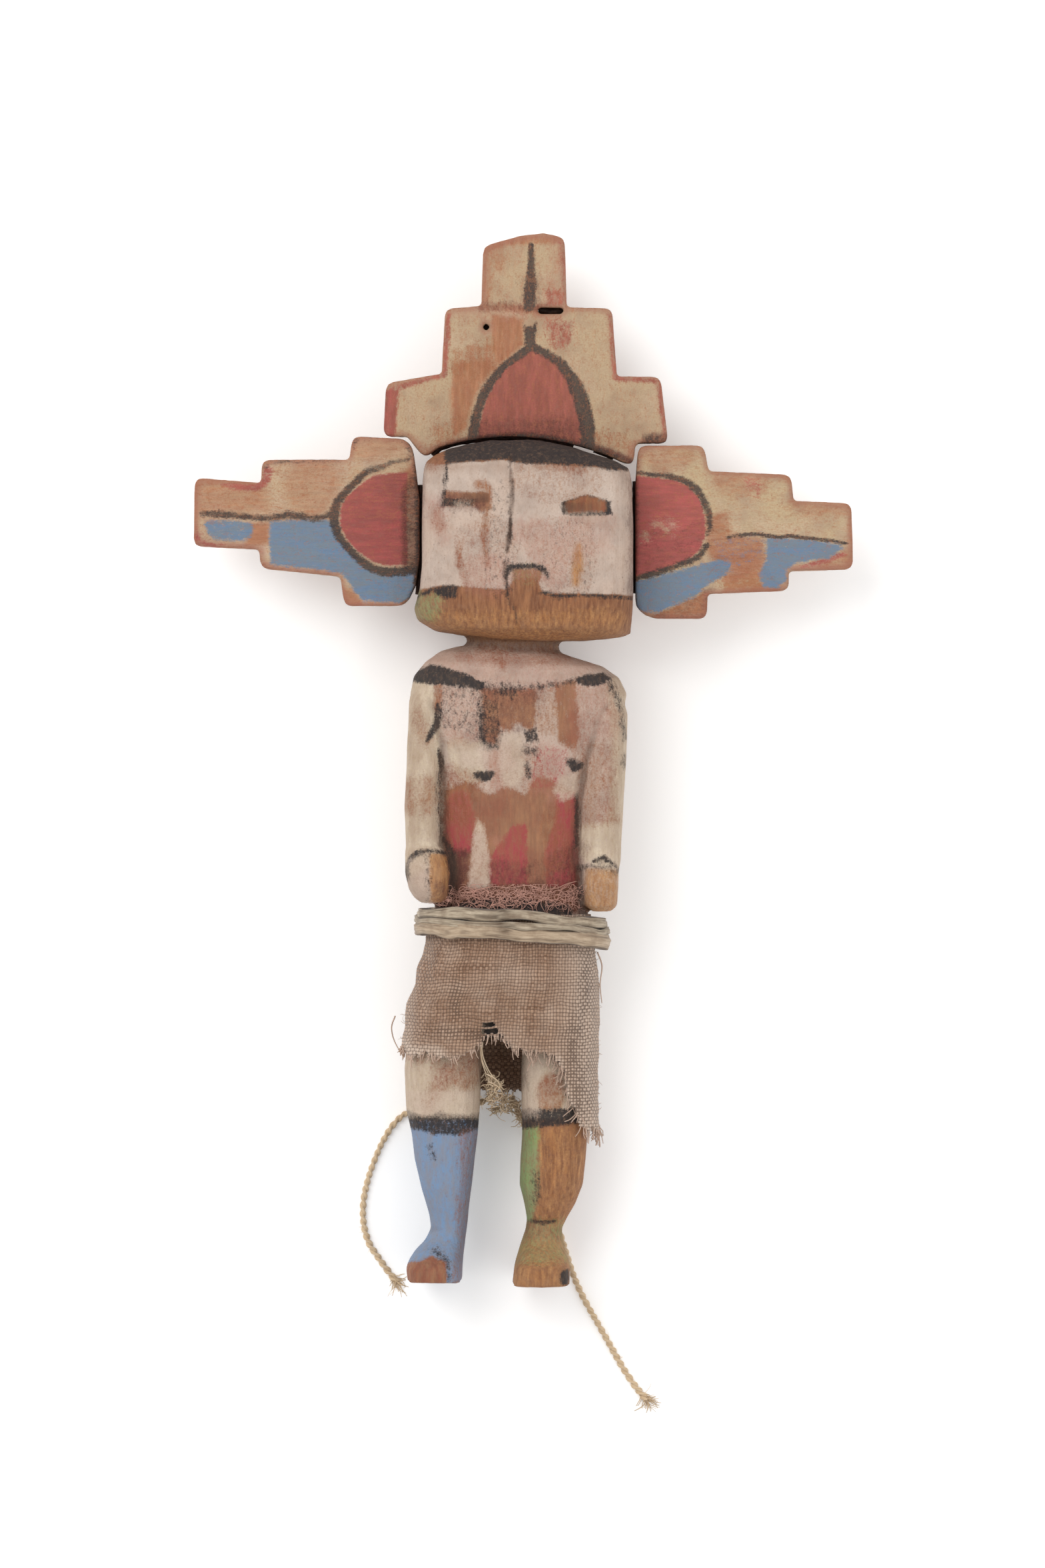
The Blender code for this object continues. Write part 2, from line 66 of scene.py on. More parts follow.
# The camera stands straight above the doll; these also place the brush work.
CAMERA_HEIGHT = 2.02
PICTURE_LEVEL = 0.02
PICTURE_WIDTH = 1568
PICTURE_HEIGHT = 2352
CENTRE_SHIFT = (1.0, 35.0)
SENSOR = 36.0

# A mark with less cover than this is only a rubbed trace, and its edge fades out over a wider band.
WEAK_COVER = 0.15
WEAK_FEATHER = 2.4
# A distance that is well outside every mark and every knife cut.
FAR = 9.0


class Pigment(Enum):
    """The coats on the carving, from the wood up; each value names the attribute that holds its distance."""

    WHITE = "coat_white"
    CREAM = "coat_cream"
    BARE = "coat_bare"
    OCHRE = "coat_ochre"
    PINK = "coat_pink"
    RED = "coat_red"
    MAROON = "coat_maroon"
    BLUE = "coat_blue"
    GREEN = "coat_green"
    BLACK = "coat_black"
    CHALK = "coat_chalk"
    WORN = "coat_worn"


WHITE, CREAM, BARE, OCHRE, PINK, RED, MAROON, BLUE, GREEN, BLACK, CHALK, WORN = Pigment


class Reach(Enum):
    """How far round the carving a mark goes."""

    FACE = "only the flat front of the head"
    FRONT = "the front half"
    BACK = "the back half"
    ROUND = "all round"


# ---------------------------------------------------------------- small helpers


def linear(code: str) -> tuple[float, float, float, float]:
    """Turn an sRGB hex colour into the linear colour that a shader takes.

    Args:
        code: Six hex digits.

    Returns:
        Red, green, blue and an alpha of one.
    """
    parts = [int(code[i : i + 2], 16) / 255 for i in (0, 2, 4)]
    red, green, blue = (p / 12.92 if p <= 0.04045 else ((p + 0.055) / 1.055) ** 2.4 for p in parts)
    return red, green, blue, 1.0


def add_node(tree: bpy.types.NodeTree, kind: str, sockets: dict[Any, Any] | None = None, **settings: Any) -> Any:
    """Add one shader node, with its settings, socket values and links.

    Args:
        tree: The material's node tree.
        kind: The node's type name, without the ShaderNode that it begins with.
        sockets: Input socket name or index, and either a value or the output socket to link from.
        **settings: Attributes of the node itself.

    Returns:
        The new node's output sockets.
    """
    node = tree.nodes.new("ShaderNode" + kind)
    for key, value in settings.items():
        setattr(node, key, value)
    for key, value in (sockets or {}).items():
        if isinstance(value, bpy.types.NodeSocket):
            tree.links.new(value, node.inputs[key])
        else:
            node.inputs[key].default_value = value
    return node.outputs


def choose(obj: bpy.types.Object) -> None:
    """Select one object alone and make it the active one."""
    bpy.ops.object.select_all(action="DESELECT")
    obj.select_set(True)
    bpy.context.view_layer.objects.active = obj


def apply_modifiers(obj: bpy.types.Object) -> None:
    """Apply every modifier of an object, in order."""
    choose(obj)
    for modifier in list(obj.modifiers):
        bpy.ops.object.modifier_apply(modifier=modifier.name)


def turn_faces_out(obj: bpy.types.Object) -> None:
    """Remove points without faces and make all faces point outwards."""
    choose(obj)
    bpy.ops.object.mode_set(mode="EDIT")
    bpy.ops.mesh.select_all(action="DESELECT")
    bpy.ops.mesh.select_mode(type="VERT")
    bpy.ops.mesh.select_loose()
    bpy.ops.mesh.delete(type="VERT")
    bpy.ops.mesh.select_all(action="SELECT")
    bpy.ops.mesh.normals_make_consistent(inside=False)
    bpy.ops.object.mode_set(mode="OBJECT")


def hand_in(obj: bpy.types.Object, finish: bpy.types.Material, node: str | None = None) -> None:
    """Finish a piece: its material, the body it rides on and the node it stands for.

    Args:
        obj: The piece.
        finish: What it is made of.
        node: The CAD node that it replaces, where it replaces one.
    """
    obj.data.materials.append(finish)
    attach(obj, "root")
    if node:
        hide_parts(node)
    obj.data.calc_loop_triangles()
    log.info("%s: %d triangles", obj.name, len(obj.data.loop_triangles))


def new_object(name: str, points: np.ndarray, faces: Sequence[Sequence[int]]) -> bpy.types.Object:
    """Make a mesh object, smooth shaded.

    Args:
        name: The object's name.
        points: Its vertices, in millimetres.
        faces: Its faces, as vertex numbers.

    Returns:
        The new object, linked to the scene.
    """
    mesh = bpy.data.meshes.new(name)
    mesh.from_pydata([tuple(p) for p in points * MM], [], faces)
    mesh.update()
    obj = bpy.data.objects.new(name, mesh)
    bpy.context.scene.collection.objects.link(obj)
    mesh.polygons.foreach_set("use_smooth", [True] * len(mesh.polygons))
    return obj


def vertices(obj: bpy.types.Object) -> np.ndarray:
    """The vertices of a mesh object, in millimetres."""
    flat = np.empty(len(obj.data.vertices) * 3, np.float32)
    obj.data.vertices.foreach_get("co", flat)
    return flat.reshape(-1, 3).astype(float) / MM


def set_vertices(obj: bpy.types.Object, points: np.ndarray) -> None:
    """Put the vertices of a mesh object at points in millimetres."""
    obj.data.vertices.foreach_set("co", (points * MM).astype(np.float32).ravel())
    obj.data.update()


def normals(obj: bpy.types.Object) -> np.ndarray:
    """The vertex normals of a mesh object."""
    flat = np.empty(len(obj.data.vertices) * 3, np.float32)
    obj.data.vertex_normals.foreach_get("vector", flat)
    return flat.reshape(-1, 3).astype(float)


def write_attribute(obj: bpy.types.Object, name: str, values: np.ndarray) -> None:
    """Keep one number per vertex on a mesh, for a material to read."""
    layer = obj.data.attributes.new(name, "FLOAT", "POINT")
    layer.data.foreach_set("value", values.astype(np.float32))


def write_places(obj: bpy.types.Object, name: str, places: Sequence[tuple[float, float]]) -> None:
    """Keep a UV map on a mesh, one place for each face corner."""
    layer = obj.data.uv_layers.new(name=name)
    layer.data.foreach_set("uv", np.array(places, np.float32).ravel())


def hashed(ix: np.ndarray, iy: np.ndarray, iz: np.ndarray, seed: int) -> np.ndarray:
    """A fixed number from 0 to 1 for each whole-number place.

    Args:
        ix: Whole numbers across.
        iy: Whole numbers along.
        iz: Whole numbers up.
        seed: Picks the pattern.

    Returns:
        One number for each place.
    """
    word = 0xFFFFFFFF
    h = (ix * 73856093) ^ (iy * 19349663) ^ (iz * 83492791) ^ (seed * 40503 + 977)
    h = ((h & word) ^ ((h & word) >> 13)) * 1274126177 & word
    h = (h ^ (h >> 16)) * 2246822519 & word
    return ((h ^ (h >> 15)) & word) / word


def mottle(points: np.ndarray, size: Sequence[float] | float, seed: int) -> np.ndarray:
    """Smooth seeded noise from -1 to 1.

    Args:
        points: Places in millimetres, three to a row.
        size: Millimetres from one bump to the next, one number or one per axis.
        seed: Picks the pattern.

    Returns:
        One value for each point.
    """
    scaled = points / np.asarray(size, float)
    low = np.floor(scaled).astype(np.int64)
    part = scaled - low
    part = part * part * (3 - 2 * part)
    total = np.zeros(len(points))
    for corner in range(8):
        step = np.array([corner & 1, corner >> 1 & 1, corner >> 2 & 1])
        weight = np.prod(np.where(step, part, 1 - part), axis=1)
        cell = low + step
        total += weight * hashed(cell[:, 0], cell[:, 1], cell[:, 2], seed)
    return total * 2 - 1


def knife_cuts(points: np.ndarray, size: Sequence[float], seed: int) -> np.ndarray:
    """Depth of whittling: shallow scoops whose borders are the ridges that a knife leaves.

    Args:
        points: Places in millimetres.
        size: The usual size of one cut on each axis, in millimetres.
        seed: Picks the pattern.

    Returns:
        For each point, 0 at a cut's middle and about 1 on the ridge between two cuts.
    """
    scaled = points / np.asarray(size, float)
    low = np.floor(scaled).astype(np.int64)
    nearest = np.full(len(points), FAR)
    for dx in (-1, 0, 1):
        for dy in (-1, 0, 1):
            for dz in (-1, 0, 1):
                cell = low + np.array([dx, dy, dz])
                shift = [hashed(cell[:, 0], cell[:, 1], cell[:, 2], seed + axis) for axis in range(3)]
                away = scaled - cell - np.stack(shift, axis=1)
                nearest = np.minimum(nearest, (away * away).sum(axis=1))
    return np.minimum(nearest, 1.0)


def on_line(along: np.ndarray, beside: float = 0.0) -> np.ndarray:
    """Places on a line beside the X axis, to take noise along it."""
    return np.stack([along, np.full(len(along), beside), np.zeros(len(along))], axis=1).astype(float)


def lengths(points: np.ndarray) -> np.ndarray:
    """How far along a line each of its points lies."""
    return np.concatenate([[0], np.cumsum(np.linalg.norm(np.diff(points, axis=0), axis=1))])


def rounded_line(points: np.ndarray, spans: int, closed: bool = False) -> np.ndarray:
    """A smooth line through points, by Catmull and Rom's rule.

    Args:
        points: The points to pass through, one to a row.
        spans: New points for each stretch between two given ones.
        closed: Whether the line comes back to its start.

    Returns:
        The points of the smooth line.
    """
    if closed:
        padded = np.vstack([points[-1], points, points[0], points[1]])
    else:
        padded = np.vstack([2 * points[0] - points[1], points, 2 * points[-1] - points[-2]])
    made = []
    for a, b, c, d in zip(padded, padded[1:], padded[2:], padded[3:]):
        for step in range(spans):
            t = step / spans
            pull = (2 * a - 5 * b + 4 * c - d) * t * t + (3 * b - a - 3 * c + d) * t**3
            made.append(0.5 * (2 * b + (c - a) * t + pull))
    if not closed:
        made.append(points[-1])
    return np.array(made)


def evenly(points: np.ndarray, step: float) -> np.ndarray:
    """Points along a line, all about one step apart.

    Args:
        points: The line's points.
        step: The distance wanted from one to the next.

    Returns:
        The new points, the two ends among them.
    """
    run = lengths(points)
    at = np.linspace(0, run[-1], max(2, int(round(run[-1] / step)) + 1))
    return np.stack([np.interp(at, run, values) for values in points.T], axis=1)


def numbers(line: str) -> np.ndarray:
    """The numbers of a written line, one place to a row."""
    return np.array([[float(n) for n in place.split()] for place in line.split(",")])


def from_ticks(line: str, level: float) -> np.ndarray:
    """Places on the picture plane, put back into space at one height.

    Args:
        line: Places in ticks, "x y" with commas between them.
        level: Their height in millimetres.

    Returns:
        The points in millimetres, one to a row.
    """
    places = numbers(line)
    zoom = (CAMERA_HEIGHT - PICTURE_LEVEL) / (CAMERA_HEIGHT - level * MM)
    x = ((places[:, 0] - PICTURE_WIDTH / 2) / zoom - CENTRE_SHIFT[0]) / TICKS
    y = -((places[:, 1] - PICTURE_HEIGHT / 2) / zoom + CENTRE_SHIFT[1]) / TICKS
    return np.stack([x, y, np.full(len(x), level)], axis=1)


def in_ticks(points: np.ndarray) -> tuple[np.ndarray, np.ndarray]:
    """Where points fall on the picture plane.

    Args:
        points: Places in millimetres.

    Returns:
        Ticks across from the left edge and ticks down from the top.
    """
    zoom = (CAMERA_HEIGHT - PICTURE_LEVEL) / (CAMERA_HEIGHT - points[:, 2] * MM)
    across = PICTURE_WIDTH / 2 + (TICKS * points[:, 0] + CENTRE_SHIFT[0]) * zoom
    down = PICTURE_HEIGHT / 2 - (TICKS * points[:, 1] + CENTRE_SHIFT[1]) * zoom
    return across, down


# ---------------------------------------------------------------- brush work


@dataclass(frozen=True)
class Mark:
    """One place that a pigment covers, or where a coat is gone.

    The distance to its edge goes down by one for each millimetre inside. A ragged mark's edge wanders further.
    Cover says how firmly it lies: above about 0.6 it is solid, near 0.2 it is broken, below 0 only flecks show.
    """

    pigment: Pigment
    line: str
    cover: float = 0.6
    ragged: float = 1.0
    reach: Reach = Reach.FRONT

    def distance(self, x: np.ndarray, y: np.ndarray) -> np.ndarray:
        """Distance to the mark's edge in ticks, negative inside; each kind of mark has its own."""
        raise NotImplementedError

    def value(self, x: np.ndarray, y: np.ndarray, z: np.ndarray, middle: float, face: float) -> np.ndarray:
        """What the mark adds to its pigment's attribute.

        Args:
            x: Ticks across.
            y: Ticks down.
            z: Heights in millimetres.
            middle: The height that parts front from back.
            face: The height above which the face's own marks lie.

        Returns:
            The signed distance, scaled by raggedness and held at the cover.
        """
        inside = self.distance(x, y) / TICKS
        if self.reach is Reach.FRONT:
            inside = np.maximum(inside, middle - z)
        elif self.reach is Reach.FACE:
            inside = np.maximum(inside, face - z)
        elif self.reach is Reach.BACK:
            inside = np.maximum(inside, z - middle)
        feather = WEAK_FEATHER if self.weak() else 1.0
        return np.maximum(inside / (self.ragged * feather), -self.cover)

    def weak(self) -> bool:
        """Whether the mark is only a rubbed trace, which fades out at its edge."""
        return self.cover < WEAK_COVER


@dataclass(frozen=True)
class Brush(Mark):
    """A brush line: places with a width, joined smoothly."""

    def distance(self, x: np.ndarray, y: np.ndarray) -> np.ndarray:
        """Distance to the edge of the line in ticks.

        Args:
            x: Ticks across.
            y: Ticks down.

        Returns:
            The signed distance, negative on the line.
        """
        places = numbers(self.line)
        if len(places) > 2:
            places = rounded_line(places, 4)
        best = np.full(len(x), 1e6)
        for (ax, ay, aw), (bx, by, bw) in zip(places, places[1:]):
            dx, dy = bx - ax, by - ay
            t = np.clip(((x - ax) * dx + (y - ay) * dy) / max(dx * dx + dy * dy, 1e-9), 0, 1)
            best = np.minimum(best, np.hypot(x - ax - t * dx, y - ay - t * dy) - (aw + (bw - aw) * t) / 2)
        return best


@dataclass(frozen=True)
class Patch(Mark):
    """A painted area inside an outline."""

    soft: bool = False

    def distance(self, x: np.ndarray, y: np.ndarray) -> np.ndarray:
        """Distance to the outline in ticks.

        Args:
            x: Ticks across.
            y: Ticks down.

        Returns:
            The signed distance, negative inside.
        """
        places = numbers(self.line)
        if self.soft:
            places = rounded_line(places, 4, closed=True)
        best = np.full(len(x), 1e6)
        inside = np.zeros(len(x), bool)
        for (ax, ay), (bx, by) in zip(places, np.roll(places, -1, axis=0)):
            dx, dy = bx - ax, by - ay
            t = np.clip(((x - ax) * dx + (y - ay) * dy) / max(dx * dx + dy * dy, 1e-9), 0, 1)
            best = np.minimum(best, np.hypot(x - ax - t * dx, y - ay - t * dy))
            if ay != by:
                crosses = (ay > y) != (by > y)
                inside ^= crosses & (x < ax + dx * (y - ay) / dy)
        return np.where(inside, -best, best)


ROUND, FACE, BACK = Reach.ROUND, Reach.FACE, Reach.BACK

HEAD_MARKS: tuple[Mark, ...] = (
    Patch(WHITE, "590 697, 668 696, 765 690, 860 700, 990 706, 990 895, 815 890, 805 868, 770 868, 760 884,"
          "690 880, 652 879, 590 893", 0.5, 0.8, ROUND),
    Patch(BLACK, "662 640, 965 640, 965 706, 920 706, 880 700, 800 695, 765 690, 700 693, 668 697", 0.6, 1.1, ROUND),
    Patch(BARE, "600 640, 664 640, 668 690, 650 700, 600 705", 0.05, 1.2, ROUND),
    Brush(BLACK, "671 690 5, 668 715 4, 665 745 3", 0.2),
    # Painted shade: dark lines down both sides of the head, where it meets the side boards.
    Brush(MAROON, "632 715 5, 631 800 6, 628 850 6, 624 905 6", 0.35, 1.0, ROUND),
    Brush(MAROON, "949 715 3, 950 810 3, 949 890 3", 0.1, 1.0, ROUND),
    Brush(BLACK, "766 686 2, 768 740 3, 766 780 2, 765 805 3, 761 826 4", 1.0, 0.5, FACE),
    Brush(BLACK, "758 840 4, 757 860 4, 761 885 3, 766 905 2, 775 920 2, 776 938 2", 0.32, 0.8),
    Patch(BARE, "665 736, 712 737, 737 736, 738 763, 722 768, 712 760, 664 758", 0.7, 0.8, FACE),
    Patch(MAROON, "662 742, 700 745, 724 748, 720 762, 690 759, 662 759", 0.1, 1.0, FACE),
    Patch(BLACK, "662 747, 690 748, 712 750, 710 759, 690 758, 662 758", 0.2, 0.9, FACE),
    Brush(CHALK, "686 755 4, 700 756 4", 0.0, 1.0, FACE),
    Brush(BARE, "716 726 10, 730 732 14, 730 760 12", 0.25, 1.3, FACE),
    Patch(BLACK, "844 752, 862 748, 880 743, 898 748, 916 754, 917 773, 880 773, 845 772", 0.5, 0.8, FACE),
    Patch(WORN, "849 753, 866 747, 880 743, 898 748, 909 755, 908 768, 851 768", 0.8, 0.8, FACE),
    Patch(CHALK, "853 757, 900 757, 900 768, 853 768", 0.0, 1.0, FACE),
    Brush(BLACK, "758 868 5, 761 854 10, 778 850 8, 800 850 6, 814 853 9, 823 866 4", 0.45, 1.0, FACE),
    Patch(BARE, "768 852, 812 852, 812 872, 768 872", 0.5, 1.0, FACE),
    Patch(GREEN, "772 853, 800 853, 798 868, 776 868", -0.42, 1.0, FACE),
    Patch(BLACK, "648 882, 668 876, 687 880, 684 896, 662 899", 0.35, 1.2),
    Brush(BLACK, "600 900 3, 628 893 4, 650 882 5", 0.25, 1.0),
    Brush(BLACK, "812 889 5, 840 894 6, 870 893 4, 905 896 5, 980 898 4", 0.3, 1.0),
    Brush(BARE, "729 740 10, 730 775 6, 727 800 12, 728 824 9, 731 850 5", 0.25, 1.6, FACE),
    Brush(OCHRE, "868 818 7, 867 845 15, 864 874 10", 0.5, 1.3, FACE),
    Brush(BARE, "689 818 6, 690 842 11, 697 862 6, 699 884 5", 0.16, 1.5, FACE),
    Brush(PINK, "652 755 14, 658 785 14, 667 806 8", 0.08, 1.5, FACE),
    Brush(BARE, "654 765 6, 660 790 7", 0.0, 1.5, FACE),
    Brush(BARE, "806 696 9, 850 700 14, 872 706 8", 0.12, 1.4, FACE),
    Patch(BARE, "700 800, 762 790, 760 884, 704 882", -0.24, 1.6, FACE, True),
    Patch(BARE, "795 795, 878 790, 874 888, 818 885", -0.24, 1.6, FACE, True),
    Patch(BARE, "780 700, 890 706, 874 742, 790 735", -0.22, 1.6, FACE, True),
    Patch(BLACK, "738 760, 764 730, 764 880, 738 880", -0.3, 1.2, FACE, True),
    Patch(BLACK, "828 800, 880 790, 880 884, 826 884", -0.36, 1.2, FACE, True),
    Patch(BLACK, "770 700, 930 715, 930 880, 780 800", -0.52, 1.4, FACE),
    Patch(BLACK, "640 770, 735 770, 735 876, 640 876", -0.5, 1.4, FACE),
    Patch(PINK, "845 782, 912 776, 905 815, 850 838", -0.1, 1.7, FACE, True),
    Patch(PINK, "775 790, 845 800, 846 858, 830 872", -0.05, 1.7, FACE, True),
    Patch(PINK, "715 845, 760 845, 757 884, 705 880", -0.04, 1.7, FACE, True),
    Patch(GREEN, "600 893, 656 896, 648 925, 600 935", -0.03, 1.5),
    Patch(OCHRE, "650 925, 930 925, 930 962, 650 955", -0.1, 1.8),
    Patch(BLACK, "590 640, 990 640, 990 735, 780 745, 590 730", 0.3, 1.6, BACK),
    Patch(BARE, "700 780, 850 770, 870 860, 720 870", 0.02, 2.2, BACK, True),
)

TORSO_MARKS: tuple[Mark, ...] = (
    Patch(WHITE, "500 962, 1060 962, 1060 1350, 500 1350", 0.5, 1.3, ROUND),
    Patch(CREAM, "590 1030, 650 1030, 662 1110, 664 1200, 668 1276, 590 1300", 0.3, 1.6, ROUND, True),
    Patch(CREAM, "915 1020, 970 1040, 960 1300, 878 1290, 870 1240, 912 1225, 918 1110", 0.3, 1.6, ROUND, True),
    Patch(CREAM, "672 1112, 712 1118, 724 1168, 690 1168", 0.2, 1.6, Reach.FRONT, True),
    # Painted shade on the yoke next to the neck, in pink-brown.
    Patch(PINK, "640 985, 900 985, 872 1012, 800 1026, 722 1026, 680 1004", 0.0, 1.9),
    Patch(BARE, "720 962, 830 962, 838 978, 715 978", 0.1, 1.6, ROUND),
    # Painted shade on the neck under the chin, in bare-wood brown.
    Brush(BARE, "742 978 18, 752 990 12, 756 1002 6", 0.15, 1.4),
    Brush(BARE, "690 985 5, 812 990 8, 850 985 5", -0.02, 1.5),
    Patch(BLACK, "600 1020, 628 1004, 645 995, 668 1001, 700 1011, 730 1024, 724 1036, 700 1030, 660 1027", 0.5, 1.0),
    Patch(BLACK, "861 1019, 878 1012, 905 1008, 918 1016, 906 1027, 884 1029, 868 1026", 0.5, 0.9),
    Brush(BLACK, "726 1028 4, 770 1032 2, 815 1030 2, 862 1021 4", 0.0),
    Patch(BARE, "722 1030, 770 1033, 806 1031, 804 1086, 796 1098, 776 1082, 764 1098, 752 1090, 748 1120,"
          "724 1112", 0.6, 1.2),
    Patch(BARE, "830 1026, 866 1018, 870 1108, 860 1128, 838 1112", 0.55, 1.3),
    Patch(BARE, "806 1034, 832 1030, 836 1100, 812 1098", -0.02, 1.8),
    Patch(BARE, "736 1120, 800 1130, 808 1182, 745 1185", -0.06, 1.8),
    Patch(BARE, "666 1186, 700 1170, 735 1192, 758 1176, 786 1190, 806 1160, 830 1168, 868 1192, 868 1368,"
          "664 1368", 0.75, 1.3),
    Brush(BARE, "658 1030 12, 657 1062 12", 0.4, 1.1),
    # Painted shadow in the groove between the left arm and the chest.
    Brush(BLACK, "658 1058 8, 656 1082 11, 647 1102 9, 640 1113 4", 0.32, 1.1),
    Brush(BLACK, "660 1126 7, 662 1145 10, 661 1158 5", 0.35),
    Brush(BLACK, "659 1160 3, 659 1205 3, 663 1255 4", 0.12),
    Brush(BLACK, "914 1022 5, 928 1048 4, 933 1085 3, 937 1108 3", 0.12),
    Brush(BLACK, "936 1134 3, 937 1148 3", 0.05),
    Brush(BLACK, "721 1060 7, 723 1098 8, 733 1118 8, 746 1119 6", 0.35, 1.3),
    Patch(BLACK, "719 1048, 746 1056, 747 1122, 721 1118", -0.03, 1.5),
    Brush(BLACK, "752 1034 9, 770 1037 11", 0.05, 1.4),
    Patch(BLACK, "787 1095, 805 1092, 807 1113, 790 1113", 0.22, 1.2),
    Brush(BLACK, "717 1163 13, 727 1165 17, 736 1161 10", 0.55, 1.0),
    Brush(BLACK, "790 1148 7, 794 1162 8", 0.25, 1.2),
    Brush(BLACK, "854 1142 13, 862 1148 17, 870 1146 10", 0.55, 1.1),
    Brush(BLACK, "790 1126 10, 800 1128 8", -0.02, 1.4),
    Patch(BLACK, "668 1036, 718 1036, 716 1092, 672 1088", -0.2, 1.5),
    Patch(MAROON, "726 1032, 804 1034, 800 1088, 750 1108", -0.26, 1.6),
    Patch(PINK, "735 1122, 766 1116, 770 1176, 742 1180", 0.0, 1.6),
    Patch(PINK, "806 1118, 850 1128, 852 1180, 806 1186", 0.12, 1.6),
    Patch(PINK, "672 1040, 716 1050, 712 1120, 680 1110", -0.2, 1.8),
    Patch(PINK, "872 1034, 915 1034, 915 1100, 874 1105", -0.1, 1.8),
    Patch(RED, "670 1200, 700 1188, 712 1228, 708 1276, 692 1284, 670 1270", 0.42, 1.5, Reach.FRONT, True),
    # Painted shadow of the left hand on the belly.
    Patch(MAROON, "674 1272, 706 1276, 703 1318, 690 1336, 672 1330", 0.45, 1.2),
    Patch(RED, "770 1238, 790 1234, 792 1328, 735 1330, 733 1292, 746 1268", 0.6, 1.1),
    Patch(RED, "836 1190, 867 1188, 868 1328, 820 1330, 818 1275, 830 1232", 0.5, 1.3),
    Patch(RED, "843 1200, 866 1198, 867 1270, 840 1270", 0.9, 0.7),
    Patch(PINK, "815 1160, 866 1185, 850 1215, 826 1205", 0.1, 1.5),
    Patch(WORN, "668 1184, 708 1184, 704 1232, 668 1228", -0.02, 1.3),
    Patch(WORN, "820 1230, 838 1215, 840 1300, 820 1310", -0.15, 1.3),
    Patch(RED, "806 1126, 846 1130, 836 1172, 806 1180", -0.15, 1.4),
    Patch(MAROON, "738 1300, 792 1296, 792 1330, 738 1330", -0.02, 1.6),
    Patch(MAROON, "826 1290, 868 1270, 868 1330, 822 1330", -0.05, 1.6),
    # Dark reddish brown under the pink threads, partly painted shade above the band.
    Patch(MAROON, "660 1332, 870 1326, 870 1380, 660 1380", 0.12, 1.6),
    Patch(BARE, "664 1330, 736 1332, 736 1346, 664 1350", 0.3, 1.5),
    Brush(PINK, "750 1292 4, 772 1291 4", 0.1, 1.4),
    Brush(PINK, "746 1262 5, 750 1276 5", 0.1, 1.4),
    Patch(CHALK, "716 1228, 725 1236, 733 1284, 735 1334, 703 1334, 707 1290, 712 1252", 0.42, 1.0),
    Patch(CHALK, "748 1108, 762 1096, 784 1104, 785 1160, 778 1182, 756 1178, 748 1150", 0.3, 1.6),
    Patch(CHALK, "838 1168, 866 1160, 868 1192, 842 1200, 830 1186", 0.25, 1.5),
    Patch(CHALK, "690 1118, 720 1112, 740 1126, 722 1148, 696 1150", 0.3, 1.6),
    # Painted shadow along the right arm's inner edge, over the recessed belly.
    Brush(BLACK, "866 1188 5, 867 1228 7, 864 1268 5", 0.5),
    # Painted shadow beside the left hand.
    Brush(BLACK, "665 1256 6, 676 1280 12, 680 1318 10, 676 1346 8", 0.25, 1.2),
    Brush(BLACK, "609 1320 6, 612 1294 8, 624 1281 9, 648 1277 5, 668 1280 7", 0.45),
    Brush(BLACK, "892 1291 6, 905 1287 7, 918 1294 5, 929 1304 4", 0.45),
    Brush(BLACK, "872 1302 3, 900 1300 3, 930 1308 4", 0.1),
    Patch(OCHRE, "643 1281, 668 1280, 676 1300, 673 1345, 660 1356, 644 1352", 0.9, 0.7),
    Brush(BLACK, "642 1282 2, 641 1350 2", 0.1),
    Patch(CHALK, "612 1292, 640 1286, 640 1350, 616 1344", -0.05, 1.4),
    Patch(OCHRE, "879 1303, 926 1303, 928 1350, 916 1380, 890 1382, 876 1360", 0.8, 0.9),
    Brush(BARE, "612 1178 10, 614 1212 10", 0.12, 1.6),
    Brush(BARE, "641 1172 8, 644 1195 15, 640 1214 8", 0.12, 1.6),
    Brush(BARE, "625 1070 6, 640 1110 8", -0.05, 1.6),
    Patch(BARE, "868 1112, 916 1122, 920 1228, 876 1236, 866 1190", -0.01, 1.8),
    Patch(BARE, "870 1034, 918 1034, 915 1105, 872 1110", -0.22, 1.8),
    Patch(BARE, "668 1044, 716 1040, 716 1112, 672 1108", -0.26, 1.6),
    Patch(BARE, "664 1150, 720 1170, 715 1190, 668 1188", 0.05, 1.8),
    # Painted shadow in the gap between the belly and the band.
    Patch(BLACK, "684 1356, 705 1350, 760 1349, 810 1351, 858 1356, 858 1390, 684 1390", 0.4, 1.3),
    Patch(CHALK, "882 1308, 924 1308, 922 1350, 900 1376, 880 1350", -0.34, 1.6),
    # Painted shade between the thighs, under the kilt.
    Patch(BLACK, "724 1530, 779 1530, 779 1580, 724 1580", 0.6, 1.2),
    Patch(BARE, "640 1040, 930 1040, 930 1330, 640 1330", -0.2, 2.0, BACK),
)

